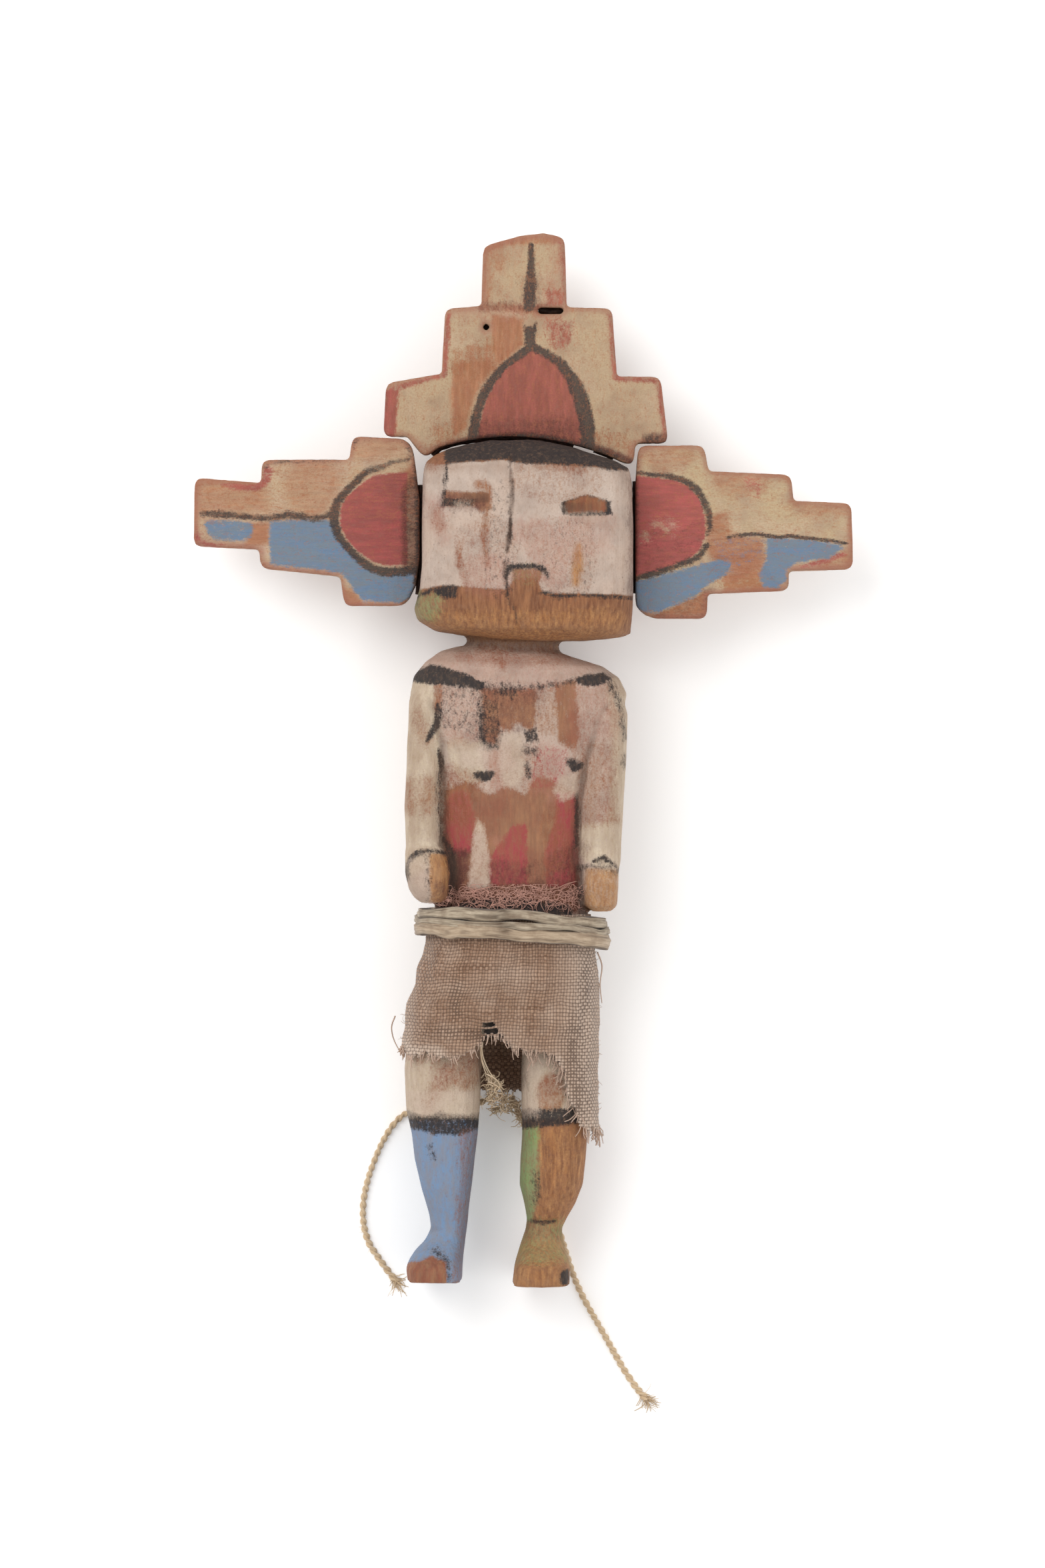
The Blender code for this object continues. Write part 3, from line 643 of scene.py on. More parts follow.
LEG_MARKS: tuple[Mark, ...] = (
    Patch(WHITE, "500 1345, 1060 1345, 1060 1668, 880 1674, 722 1682, 500 1676", 0.42, 1.2, ROUND),
    Patch(CREAM, "500 1500, 1060 1500, 1060 1668, 880 1674, 722 1682, 500 1676", 0.2, 1.4, ROUND),
    Patch(CHALK, "600 1636, 722 1640, 722 1676, 600 1672", 0.2, 1.5),
    Patch(CHALK, "784 1590, 812 1590, 806 1668, 784 1668", 0.1, 1.3),
    Patch(BARE, "650 1588, 664 1602, 680 1578, 712 1572, 714 1618, 700 1634, 680 1628, 664 1640, 646 1656, 641 1642,"
          "654 1622", 0.06, 1.6, Reach.FRONT, True),
    Brush(BARE, "640 1560 8, 632 1590 5", 0.0, 1.4),
    Patch(MAROON, "674 1588, 712 1574, 714 1616, 692 1630", -0.42, 1.5, Reach.FRONT, True),
    Patch(BARE, "812 1620, 830 1610, 846 1628, 842 1660, 816 1665, 805 1645", 0.16, 1.5, Reach.FRONT, True),
    Brush(BARE, "858 1590 6, 872 1650 9", 0.1, 1.5),
    Brush(BLACK, "783 1590 5, 786 1630 3", -0.02, 1.4),
    Patch(BLACK, "500 1672, 612 1664, 640 1675, 660 1668, 690 1673, 725 1669, 757 1672, 757 1694, 720 1693, 690 1703,"
          "650 1701, 612 1691, 500 1692", 0.32, 1.1, ROUND),
    Patch(BLACK, "768 1665, 875 1661, 1060 1664, 1060 1682, 880 1684, 840 1688, 790 1693, 768 1693", 0.38, 1.1, ROUND),
    Patch(BLUE, "500 1680, 757 1680, 757 1970, 500 1970", 0.5, 1.3, ROUND),
    Patch(WORN, "698 1705, 730 1705, 716 1935, 690 1935", -0.16, 1.5),
    Patch(WORN, "590 1898, 628 1892, 648 1884, 669 1892, 671 1950, 590 1950", 1.6, 0.7),
    Brush(BLACK, "652 1876 3, 668 1890 5, 674 1925 5", 0.05, 1.2),
    Brush(RED, "614 1690 10, 622 1718 8, 628 1745 4", 0.02, 1.4),
    Brush(RED, "640 1694 8, 686 1696 8", -0.04, 1.4),
    Brush(BLACK, "645 1720 3, 650 1738 3", -0.08),
    Patch(GREEN, "760 1691, 806 1690, 808 1740, 805 1800, 799 1832, 760 1832", 0.36, 1.4, ROUND),
    Patch(GREEN, "770 1838, 866 1838, 868 1885, 770 1892", -0.13, 1.6),
    Brush(BLACK, "806 1762 3, 806 1800 4", -0.08, 1.3),
    Brush(BLACK, "798 1831 3, 815 1834 6, 833 1832 3", 0.6),
    Patch(OCHRE, "768 1860, 870 1860, 866 1940, 760 1940", 0.12, 1.6),
    Patch(OCHRE, "812 1700, 870 1700, 872 1800, 840 1840, 812 1826", -0.12, 1.8),
    Patch(BLACK, "842 1905, 854 1903, 855 1934, 842 1931", 0.6, 0.8),
    Brush(OCHRE, "848 1912 3, 849 1922 3", 0.0),
)

TOP_MARKS: tuple[Mark, ...] = (
    Patch(WHITE, "540 320, 1040 320, 1040 720, 540 720", 0.42, 1.2, ROUND),
    Patch(OCHRE, "738 470, 784 478, 785 520, 768 533, 745 550, 737 522", 0.55, 1.2),
    Patch(OCHRE, "680 545, 736 538, 742 553, 722 576, 708 610, 700 640, 682 652, 677 600", 0.55, 1.3),
    Patch(BARE, "690 530, 738 520, 742 545, 684 556", 0.0, 1.6),
    Brush(OCHRE, "727 376 12, 760 362 12, 800 359 14, 838 358 12", 0.3, 1.3),
    Brush(OCHRE, "731 378 8, 729 420 9, 727 455 8", 0.1, 1.5),
    Brush(OCHRE, "745 375 8, 748 400 6", 0.0, 1.5),
    Brush(OCHRE, "724 459 8, 760 461 11, 800 464 14, 816 468 8", 0.3, 1.3),
    Brush(MAROON, "724 458 3, 770 459 4, 812 462 3", 0.12, 1.1),
    Patch(RED, "566 580, 599 583, 595 622, 593 660, 566 660", 0.6, 1.0),
    Brush(RED, "592 584 8, 620 573 8, 664 563 7", 0.2, 1.2),
    Brush(RED, "672 472 7, 669 520 9, 667 562 9", 0.25, 1.2),
    Brush(RED, "917 470 7, 921 520 8, 927 566 9", 0.25, 1.2),
    Brush(RED, "930 568 7, 985 571 9, 991 600 8, 1001 655 9", 0.25, 1.2),
    Brush(PINK, "838 362 10, 842 385 14, 836 405 8", 0.12, 1.5),
    Brush(PINK, "826 425 6, 832 450 12", 0.02, 1.5),
    Brush(RED, "846 365 4, 847 455 4", 0.1, 1.2),
    Patch(RED, "818 440, 842 438, 846 458, 820 461", 0.12, 1.4),
    Patch(RED, "822 484, 853 486, 853 510, 835 521, 826 506", 0.1, 1.5),
    Brush(BLACK, "797 367 8, 796 400 12, 795 430 16, 795 457 18", 0.5, 0.9),
    Brush(MAROON, "795 420 10, 795 448 14", -0.02, 1.3),
    Patch(BLACK, "784 484, 790 492, 798 491, 805 483, 803 500, 801 524, 787 524", 0.45, 0.9),
    Patch(RED, "797 525, 772 541, 747 563, 732 593, 722 624, 715 656, 714 720, 880 720, 877 636, 868 600,"
          "854 569, 828 538", 1.0, 0.8),
    Brush(BLACK, "797 521 12, 774 536 11, 750 555 12, 735 575 13, 723 600 14, 715 626 13, 707 668 15", 0.5, 0.8),
    Brush(BLACK, "797 521 12, 820 532 13, 845 552 16, 861 572 20, 873 600 23, 880 630 23, 881 672 22", 0.5, 0.9),
    Patch(MAROON, "722 636, 868 636, 870 700, 720 700", -0.08, 1.8),
    # Painted shade along the board's lower edge over the head, in maroon and black.
    Brush(MAROON, "640 696 8, 660 679 9, 690 662 9, 738 653 9, 780 651 9, 822 654 9, 863 662 9, 905 674 9,"
          "938 687 9, 950 702 8", 0.7, 0.9),
    Brush(BLACK, "690 664 4, 738 656 5, 780 654 5, 822 657 5, 863 665 5, 905 677 5, 938 691 4", 0.5, 0.9),
    # Dark chipped end of the lowest step, partly painted shade on its bevel.
    Patch(MAROON, "964 655, 985 650, 1008 655, 1008 672, 962 672", 0.3, 1.2),
    Brush(BLACK, "972 662 6, 1000 660 5", 0.1),
    Brush(BARE, "895 655 10, 935 668 12, 960 680 8", 0.0, 1.6),
    Brush(BARE, "655 648 8, 690 640 9, 655 676 12", 0.0, 1.6),
    Patch(WORN, "600 470, 990 470, 990 690, 600 690", -0.34, 1.6),
    Patch(WORN, "720 380, 850 380, 850 460, 720 460", -0.3, 1.6),
    Brush(PINK, "700 470 10, 720 466 8, 780 470 8", 0.0, 1.5),
    Patch(BARE, "600 400, 990 400, 990 700, 600 700", -0.05, 2.2, BACK),
)

LEFT_MARKS: tuple[Mark, ...] = (
    Patch(WHITE, "250 600, 660 600, 660 950, 250 950", 0.3, 1.2, ROUND),
    Patch(OCHRE, "280 712, 392 722, 398 764, 280 768", 0.12, 1.6),
    Patch(OCHRE, "448 700, 500 702, 500 742, 470 772, 436 742", 0.0, 1.6, Reach.FRONT, True),
    Patch(OCHRE, "524 650, 604 650, 624 688, 560 690, 524 680", 0.08, 1.6),
    Patch(OCHRE, "371 783, 403 783, 403 816, 368 819", 0.5, 1.3),
    Patch(OCHRE, "512 880, 534 888, 546 912, 512 912", 0.4, 1.3),
    Brush(OCHRE, "292 724 10, 291 780 9, 294 822 9", 0.4, 1.3),
    Patch(OCHRE, "598 712, 620 698, 625 722, 606 734", 0.5, 1.2),
    Brush(PINK, "300 818 7, 345 822 9, 392 826 7", 0.3, 1.4),
    Brush(RED, "292 800 5, 300 816 6, 330 820 6", 0.1, 1.4),
    Brush(PINK, "398 849 7, 450 855 7, 506 859 6", 0.25, 1.4),
    Brush(PINK, "522 906 7, 565 908 7, 612 908 6", 0.2, 1.4),
    Patch(RED, "332 727, 384 726, 394 716, 393 704, 402 696, 410 702, 404 724, 386 735, 350 735", 0.22, 1.4),
    Patch(BLUE, "312 781, 372 783, 377 799, 362 810, 320 807, 309 794", 0.4, 1.2, Reach.FRONT, True),
    Patch(BLUE, "404 782, 460 779, 500 782, 506 806, 527 829, 550 850, 575 862, 624 858, 622 894, 602 905, 546 902,"
          "530 884, 515 861, 470 852, 404 846", 0.6, 1.1),
    Patch(PINK, "448 788, 480 788, 482 806, 452 806", -0.03, 1.5),
    Patch(RED, "612 709, 585 711, 560 715, 540 727, 520 745, 511 766, 511 790, 518 808, 538 828, 560 842, 585 850,"
          "612 848", 1.0, 0.8),
    # Painted shadow of the head on the board's inner edge, and painted shade in the gap beside it.
    Patch(MAROON, "604 736, 615 714, 640 716, 640 862, 605 856", 0.3, 1.2),
    Brush(BLACK, "622 700 4, 626 740 5, 627 800 6, 625 860 6, 620 905 6", 0.3, 1.0),
    Brush(BLACK, "303 770 9, 345 772 9, 400 776 9, 440 773 10, 475 778 8, 494 774 8, 502 764 8", 0.34, 1.1),
    Brush(BLACK, "614 690 5, 592 694 6, 572 702 9, 550 709 10, 530 727 10, 512 747 12, 503 768 14, 503 788 14,"
          "510 808 12, 530 829 11, 550 846 13, 572 857 13, 600 858 13, 626 854 12", 0.5, 0.9),
    Brush(BLACK, "395 700 2, 406 691 3, 505 689 2", 0.0),
    Brush(BLACK, "526 668 3, 540 654 3, 600 654 3, 624 690 4", 0.05),
    Patch(CHALK, "540 700, 600 682, 616 684, 560 702", -0.02, 1.3),
    Patch(WORN, "290 700, 620 700, 620 770, 290 770", -0.3, 1.6),
    Patch(WORN, "310 780, 620 780, 620 900, 310 900", -0.42, 1.6),
    Patch(BARE, "300 650, 620 650, 620 900, 300 900", -0.05, 2.2, BACK),
)

RIGHT_MARKS: tuple[Mark, ...] = (
    Patch(WHITE, "920 600, 1330 600, 1330 960, 920 960", 0.42, 1.2, ROUND),
    Patch(OCHRE, "1058 778, 1090 768, 1098 800, 1142 812, 1146 850, 1100 872, 1096 845, 1060 832", 0.28, 1.5),
    Patch(BARE, "1085 862, 1145 852, 1172 884, 1160 892, 1086 892", 0.4, 1.4),
    Patch(BARE, "984 922, 1040 894, 1066 886, 1066 930, 984 934", 0.4, 1.3),
    Patch(BARE, "1066 826, 1136 820, 1140 860, 1090 872, 1070 846", 0.1, 1.7),
    Patch(OCHRE, "975 668, 1030 672, 1030 698, 980 700", 0.0, 1.6, Reach.FRONT, True),
    Patch(OCHRE, "1078 708, 1145 712, 1140 736, 1085 732", 0.02, 1.6, Reach.FRONT, True),
    Brush(OCHRE, "1192 756 8, 1222 766 12, 1265 760 7", 0.1, 1.5),
    Brush(OCHRE, "1277 762 7, 1279 810 7, 1277 850 9", 0.3, 1.4),
    Brush(OCHRE, "1090 712 6, 1170 712 7, 1188 722 5", 0.05, 1.4),
    Brush(RED, "1125 725 6, 1135 732 7", 0.0, 1.4),
    Brush(PINK, "1180 852 6, 1235 852 10, 1275 848 10", 0.3, 1.4),
    Brush(RED, "1205 850 4, 1238 840 6, 1265 830 5", 0.15, 1.3),
    Patch(OCHRE, "1232 838, 1276 826, 1280 856, 1225 858", 0.1, 1.5),
    Brush(OCHRE, "1130 815 12, 1132 838 14", 0.3, 1.4),
    Patch(PINK, "1070 812, 1140 806, 1146 848, 1080 856", 0.0, 1.6),
    Brush(PINK, "975 926 6, 1020 928 7, 1060 926 6", 0.15, 1.4),
    Brush(PINK, "1060 892 5, 1120 892 7, 1170 888 5", 0.2, 1.4),
    Patch(BLUE, "1150 807, 1200 809, 1258 814, 1266 822, 1240 837, 1192 846, 1178 858, 1180 870, 1166 884, 1146 882,"
          "1138 862, 1150 840", 0.55, 1.1),
    Patch(BLUE, "948 872, 1000 861, 1050 847, 1080 837, 1096 846, 1090 862, 1062 878, 1046 892, 1015 906, 985 919,"
          "948 918", 0.55, 1.2),
    Patch(RED, "940 713, 985 715, 1012 720, 1036 733, 1051 752, 1058 780, 1058 805, 1051 825, 1030 842, 1000 853,"
          "970 862, 940 864", 1.0, 0.8),
    Brush(BLACK, "945 709 5, 985 711 7, 1010 716 9, 1035 728 11, 1052 745 11, 1062 770 10, 1065 790 8, 1060 802 4",
          0.42, 1.0),
    Brush(BLACK, "1060 818 7, 1047 836 9, 1020 848 8, 990 858 9, 950 868 9", 0.45, 1.0),
    Brush(BLACK, "1092 804 5, 1130 802 6, 1160 805 6, 1200 806 6, 1245 810 6, 1270 814 4", 0.6, 0.7),
    # Chalk-white flecks on the red that also stand in for its glints: painted highlight.
    Brush(CHALK, "984 788 4, 990 787 3", 0.1),
    Brush(CHALK, "996 792 4, 1001 797 5", 0.15),
    Brush(CHALK, "1006 786 3, 1009 788 3", 0.1),
    Brush(CHALK, "969 806 3, 971 807 3", 0.0),
    Patch(CHALK, "982 778, 1014 778, 1014 800, 982 800", -0.5, 0.8),
    # Painted shadow of the head on the board's inner edge.
    Brush(MAROON, "952 712 6, 954 800 5, 952 868 5", 0.15, 1.3),
    Patch(MAROON, "960 820, 1050 800, 1040 845, 960 862", -0.42, 1.8),
    Patch(BLUE, "1080 814, 1140 808, 1136 826, 1088 848", -0.3, 1.7),
    Patch(MAROON, "990 916, 1064 892, 1066 930, 990 934", -0.3, 1.8),
    # Painted shade under the top board's flank, in bare-wood brown.
    Brush(BARE, "945 664 12, 952 690 8", 0.1, 1.5),
    Patch(WORN, "960 660, 1280 660, 1280 800, 960 800", -0.34, 1.6),
    Patch(WORN, "950 840, 1280 810, 1280 930, 950 930", -0.4, 1.6),
    Patch(BARE, "960 660, 1270 660, 1270 920, 960 920", -0.05, 2.2, BACK),
)


# ---------------------------------------------------------------- finishes


@dataclass(frozen=True)
class Finish:
    """A material, named for the real one; each kind of finish says what its surface is."""

    name: str

    def surface(self, tree: bpy.types.NodeTree) -> dict[str, Any]:
        """The sockets of its Principled BSDF; each finish has its own."""
        raise NotImplementedError

    def build(self) -> bpy.types.Material:
        """Make the node material.

        Returns:
            The material.
        """
        material = bpy.data.materials.new(self.name)
        material.use_nodes = True
        tree = material.node_tree
        tree.nodes.clear()
        shader = add_node(tree, "BsdfPrincipled", self.surface(tree))[0]
        add_node(tree, "OutputMaterial", {"Surface": shader})
        return material


@dataclass(frozen=True)
class Coat:
    """One pigment's look: its two shades, how matt it is, how soft its edges are and how thickly it lies."""

    light: str
    dark: str
    dull: float
    soft: float
    strength: float


@dataclass(frozen=True)
class PaintedCottonwood(Finish):
    """Cottonwood root, whittled, under a thin coat of kaolin and mineral colours rubbed on with little binder.

    To the eye it is dead matt, chalky and speckled, with fibrous brown wood where the coat has gone, painted shade
    darker in the hollows, brown edges that are stain and partly painted shade, and worn off along the edges.
    """

    name: str = "cottonwood_root_mineral_paint"
    coat: str = "C9B8AB"
    coat_shade: str = "AF9D91"
    coat_warm: str = "C5B0A1"
    wood: str = "9C6B48"
    wood_dark: str = "6E4530"
    wood_red: str = "8D5239"
    fresh: str = "CE9C64"
    fresh_dark: str = "B88049"
    red: str = "9E3C46"
    red_dark: str = "955143"
    blue: str = "7090B4"
    blue_dark: str = "7F8A9C"
    black: str = "242225"
    black_dark: str = "322D2C"
    # Brown of the worn edges; on the figure it is also painted shade along the rounded sides of the arms.
    edge_stain_and_shade: str = "86654F"
    edge_stain_and_shade_strength: float = 0.28
    grain: tuple[float, float, float] = (1.6, 0.16, 1.6)
    speckle: float = 0.5

    def coats(self) -> dict[Pigment, Coat]:
        """The coats from the wood up."""
        return {
            WHITE: Coat(self.coat, self.coat_shade, 0.93, 0.24, 0.96),
            CREAM: Coat("CFBFA7", "B8A68E", 0.93, 0.45, 0.85),
            BARE: Coat(self.wood, self.wood_red, 0.7, 0.4, 0.92),
            OCHRE: Coat(self.fresh, self.fresh_dark, 0.68, 0.45, 0.9),
            PINK: Coat("B37A70", "A26B5A", 0.85, 0.55, 0.5),
            RED: Coat(self.red, self.red_dark, 0.74, 0.3, 0.95),
            MAROON: Coat("643632", "3F2220", 0.8, 0.5, 0.88),
            BLUE: Coat(self.blue, self.blue_dark, 0.9, 0.3, 0.95),
            GREEN: Coat("7E9F67", "8B936C", 0.9, 0.45, 0.82),
            BLACK: Coat(self.black, self.black_dark, 0.88, 0.26, 0.96),
            CHALK: Coat("CDBBA8", "B8A490", 0.93, 0.45, 0.8),
            WORN: Coat(self.wood, self.wood_red, 0.7, 0.4, 0.96),
        }

    def surface(self, tree: bpy.types.NodeTree) -> dict[str, Any]:
        """Lay the coats over the wood, by the distances and hollows kept on the mesh.

        Args:
            tree: The material's node tree.

        Returns:
            The sockets of the Principled BSDF.
        """
        place = add_node(tree, "TexCoord")["Object"]
        per_mm = 1 / MM
        # Each Mapping's scale is in bumps per millimetre on that axis, so the noise itself keeps a scale near one.
        fields = {}
        for field_name, per_axis, detail, roughness in (
            ("fibre", self.grain, 5.0, 0.62),
            ("wander", tuple(0.6 + 0.5 * g for g in self.grain), 6.0, 0.72),
            ("streak", tuple(0.12 + 0.45 * g for g in self.grain), 4.0, 0.6),
            ("fleck", (2.8, 2.8, 2.8), 3.0, 0.6),
            ("broad", (0.15, 0.15, 0.15), 3.0, 0.55),
        ):
            laid = add_node(tree, "Mapping", {"Vector": place, "Scale": tuple(per_mm * g for g in per_axis)})[0]
            noise = add_node(
                tree, "TexNoise", {"Vector": laid, "Scale": 1.0, "Detail": detail, "Roughness": roughness}
            )
            fields[field_name] = noise
        wander = add_node(tree, "SeparateColor", {0: fields["wander"]["Color"]})
        fleck = add_node(tree, "SeparateColor", {0: fields["fleck"]["Color"]})
        broad = add_node(tree, "SeparateColor", {0: fields["broad"]["Color"]})
        hollow = add_node(tree, "Attribute", attribute_name="hollow")["Fac"]
        # Edges stand proud of their surroundings, so hands and shelves have rubbed their coat away.
        spans = {}
        for span_name, value, low, high, top in (
            ("rubbed", hollow, -0.3, -0.8, 0.6),
            # Brown stain on the worn edges, and painted shade along the rounded sides of the arms.
            ("edge_stain_and_shade", hollow, -0.06, -0.3, self.edge_stain_and_shade_strength),
            # Painted shade: dark brown in the hollows and grooves.
            ("hollow_shade", hollow, 0.03, 0.34, 0.6),
            ("shade", fields["fibre"]["Fac"], 0.34, 0.66, 1.0),
            ("streak", fields["streak"]["Fac"], 0.4, 0.66, 1.0),
            ("tone", broad[0], 0.36, 0.64, 1.0),
            ("warm", broad[1], 0.4, 0.62, 1.0),
            ("dust", fleck[2], 0.42, 0.75, 0.5),
            ("soiled", wander[2], 0.5, 0.74, 0.4),
        ):
            spans[span_name] = add_node(
                tree, "MapRange", {"Value": value, "From Min": low, "From Max": high, "To Max": top}
            )[0]

        colour = add_node(
            tree,
            "Mix",
            {0: spans["shade"], 6: linear(self.wood_dark), 7: linear(self.wood)},
            data_type="RGBA",
        )[2]
        rough: Any = add_node(tree, "Math", {0: spans["shade"], 1: -0.1, 2: 0.78}, operation="MULTIPLY_ADD")[0]
        height: Any = add_node(tree, "Math", {0: fields["fibre"]["Fac"], 1: 0.22, 2: 0.0}, operation="MULTIPLY_ADD")[0]

        for number, (pigment, coat) in enumerate(self.coats().items()):
            # The edge stain, with its painted shade, lies under the red and the coats above it.
            if pigment is RED:
                colour = add_node(tree, "Mix", {0: spans["edge_stain_and_shade"], 6: colour, 7: linear(self.edge_stain_and_shade)}, data_type="RGBA")[2]
            coarse, fine = wander[number % 3], fleck[(number + 1) % 3]
            woody = pigment in (BARE, OCHRE, WORN)
            jitter = add_node(tree, "Math", {0: coarse, 1: 1.9, 2: -0.95}, operation="MULTIPLY_ADD")[0]
            jitter = add_node(tree, "Math", {0: fine, 1: 2 * self.speckle, 2: jitter}, operation="MULTIPLY_ADD")[0]
            edge = add_node(tree, "Attribute", attribute_name=pigment.value)["Fac"]
            reach = add_node(tree, "Math", {0: edge, 1: jitter}, operation="ADD")[0]
            if pigment in (WHITE, RED, BLUE, GREEN, BLACK):
                reach = add_node(tree, "Math", {0: reach, 1: spans["rubbed"]}, operation="ADD")[0]
            # Both noises average 0.5, so the edge lies where distance and jitter together come to the speckle.
            mask = add_node(
                tree,
                "MapRange",
                {
                    "Value": reach,
                    "From Min": self.speckle + coat.soft,
                    "From Max": self.speckle - coat.soft,
                    "To Max": coat.strength,
                },
            )[0]
            brushed = add_node(
                tree,
                "Mix",
                {0: spans["streak" if number % 2 else "tone"], 6: linear(coat.dark), 7: linear(coat.light)},
                data_type="RGBA",
            )[2]
            if pigment in (WHITE, CHALK):
                brushed = add_node(
                    tree, "Mix", {0: spans["warm"], 6: brushed, 7: linear(self.coat_warm)}, data_type="RGBA"
                )[2]
            # Wood shows its dark fibres; rubbed mineral colour shows fine flecks of its darker shade.
            grit = (
                add_node(tree, "Math", {0: spans["shade"], 1: -0.55, 2: 0.55}, operation="MULTIPLY_ADD")[0]
                if woody else spans["dust"]
            )
            brushed = add_node(
                tree,
                "Mix",
                {0: grit, 6: brushed, 7: linear(self.wood_dark if woody else coat.dark)},
                data_type="RGBA",
            )[2]
            colour = add_node(tree, "Mix", {0: mask, 6: colour, 7: brushed}, data_type="RGBA")[2]
            rough = add_node(tree, "Mix", {0: mask, 2: rough, 3: coat.dull}, data_type="FLOAT")[0]
            height = add_node(
                tree, "Math", {0: mask, 1: -0.05 if woody else 0.04, 2: height}, operation="MULTIPLY_ADD"
            )[0]

        # Random soiling, then painted shade in the hollows.
        for amount, stain in ((spans["soiled"], "8E6E57"), (spans["hollow_shade"], "4A352A")):
            colour = add_node(tree, "Mix", {0: amount, 6: colour, 7: linear(stain)}, data_type="RGBA")[2]
        height = add_node(tree, "Math", {0: fields["fleck"]["Fac"], 1: 0.08, 2: height}, operation="MULTIPLY_ADD")[0]
        bump = add_node(tree, "Bump", {"Strength": 0.8, "Distance": 1.4 * MM, "Height": height})
        return {"Base Color": colour, "Roughness": rough, "Normal": bump[0], "IOR": 1.45, "Specular IOR Level": 0.35}


@dataclass(frozen=True)
class HandspunWeave(Finish):
    """Coarse hand-woven cotton, plain weave, 0.7 mm from thread to thread, brown-pink with age and handling.

    To the eye each crossing is a small bump with painted shade in the gaps at its corners, the threads vary in
    tone, and the cloth is paler and fuzzier where it frays.
    """

    name: str = "handspun_cotton_plain_weave"
    thread: str = "B4937B"
    shade: str = "7C5B45"
    # Colour of the painted shade in the gaps between crossings.
    gap: str = "4C3628"
    pale: str = "D3BDAB"

    def surface(self, tree: bpy.types.NodeTree) -> dict[str, Any]:
        """Draw the weave, by the threads counted on the piece's own UV map.

        Args:
            tree: The material's node tree.

        Returns:
            The sockets of the Principled BSDF.
        """
        threads = add_node(tree, "UVMap", uv_map="threads")[0]
        parts = add_node(tree, "SeparateXYZ", {0: threads})
        waves = []
        for part in (parts[0], parts[1]):
            turned = add_node(tree, "Math", {0: part, 1: math.pi}, operation="MULTIPLY")[0]
            waves.append(add_node(tree, "Math", {0: turned}, operation="SINE")[0])
        over = add_node(tree, "Math", {0: waves[0], 1: waves[1]}, operation="MULTIPLY")[0]
        bump_shape = add_node(tree, "Math", {0: over}, operation="ABSOLUTE")[0]
        tones = []
        for stretch in ((1.0, 0.05, 1.0), (0.05, 1.0, 1.0)):
            along = add_node(tree, "Mapping", {"Vector": threads, "Scale": stretch})[0]
            tones.append(
                add_node(tree, "TexNoise", {"Vector": along, "Scale": 0.9, "Detail": 3.0, "Roughness": 0.7})["Fac"]
            )
        upper = add_node(tree, "MapRange", {"Value": over, "From Min": -0.15, "From Max": 0.15})[0]
        tone = add_node(tree, "Mix", {0: upper, 2: tones[1], 3: tones[0]}, data_type="FLOAT")[0]
        tone = add_node(tree, "MapRange", {"Value": tone, "From Min": 0.34, "From Max": 0.66})[0]
        colour = add_node(tree, "Mix", {0: tone, 6: linear(self.shade), 7: linear(self.thread)}, data_type="RGBA")[2]
        place = add_node(tree, "TexCoord")["Object"]
        patchy = add_node(tree, "TexNoise", {"Vector": place, "Scale": 140.0, "Detail": 3.0, "Roughness": 0.6})["Fac"]
        patchy = add_node(tree, "MapRange", {"Value": patchy, "From Min": 0.42, "From Max": 0.75, "To Max": 0.45})[0]
        fray = add_node(tree, "Attribute", attribute_name="fray")["Fac"]
        faded = add_node(tree, "Math", {0: patchy, 1: fray}, operation="MAXIMUM")[0]
        colour = add_node(tree, "Mix", {0: faded, 6: colour, 7: linear(self.pale)}, data_type="RGBA")[2]
        loose = add_node(tree, "Attribute", attribute_name="loose")["Fac"]
        # Painted shade in the gaps between the crossings, wider where the weave is loose.
        gaping = add_node(tree, "Math", {0: loose, 1: -0.75, 2: bump_shape}, operation="MULTIPLY_ADD")[0]
        gap_shade = add_node(tree, "MapRange", {"Value": gaping, "From Min": 0.42, "From Max": 0.0, "To Max": 0.72})[0]
        colour = add_node(tree, "Mix", {0: gap_shade, 6: colour, 7: linear(self.gap)}, data_type="RGBA")[2]
        fuzz = add_node(tree, "TexNoise", {"Vector": place, "Scale": 5200.0, "Detail": 2.0, "Roughness": 0.6})["Fac"]
        height = add_node(tree, "Math", {0: fuzz, 1: 0.35, 2: bump_shape}, operation="MULTIPLY_ADD")[0]
        bump = add_node(tree, "Bump", {"Strength": 0.8, "Distance": 0.22 * MM, "Height": height})
        return {
            "Base Color": colour,
            "Roughness": 0.95,
            "Normal": bump[0],
            "Specular IOR Level": 0.2,
            "Sheen Weight": 0.25,
            "Sheen Roughness": 0.6,
        }


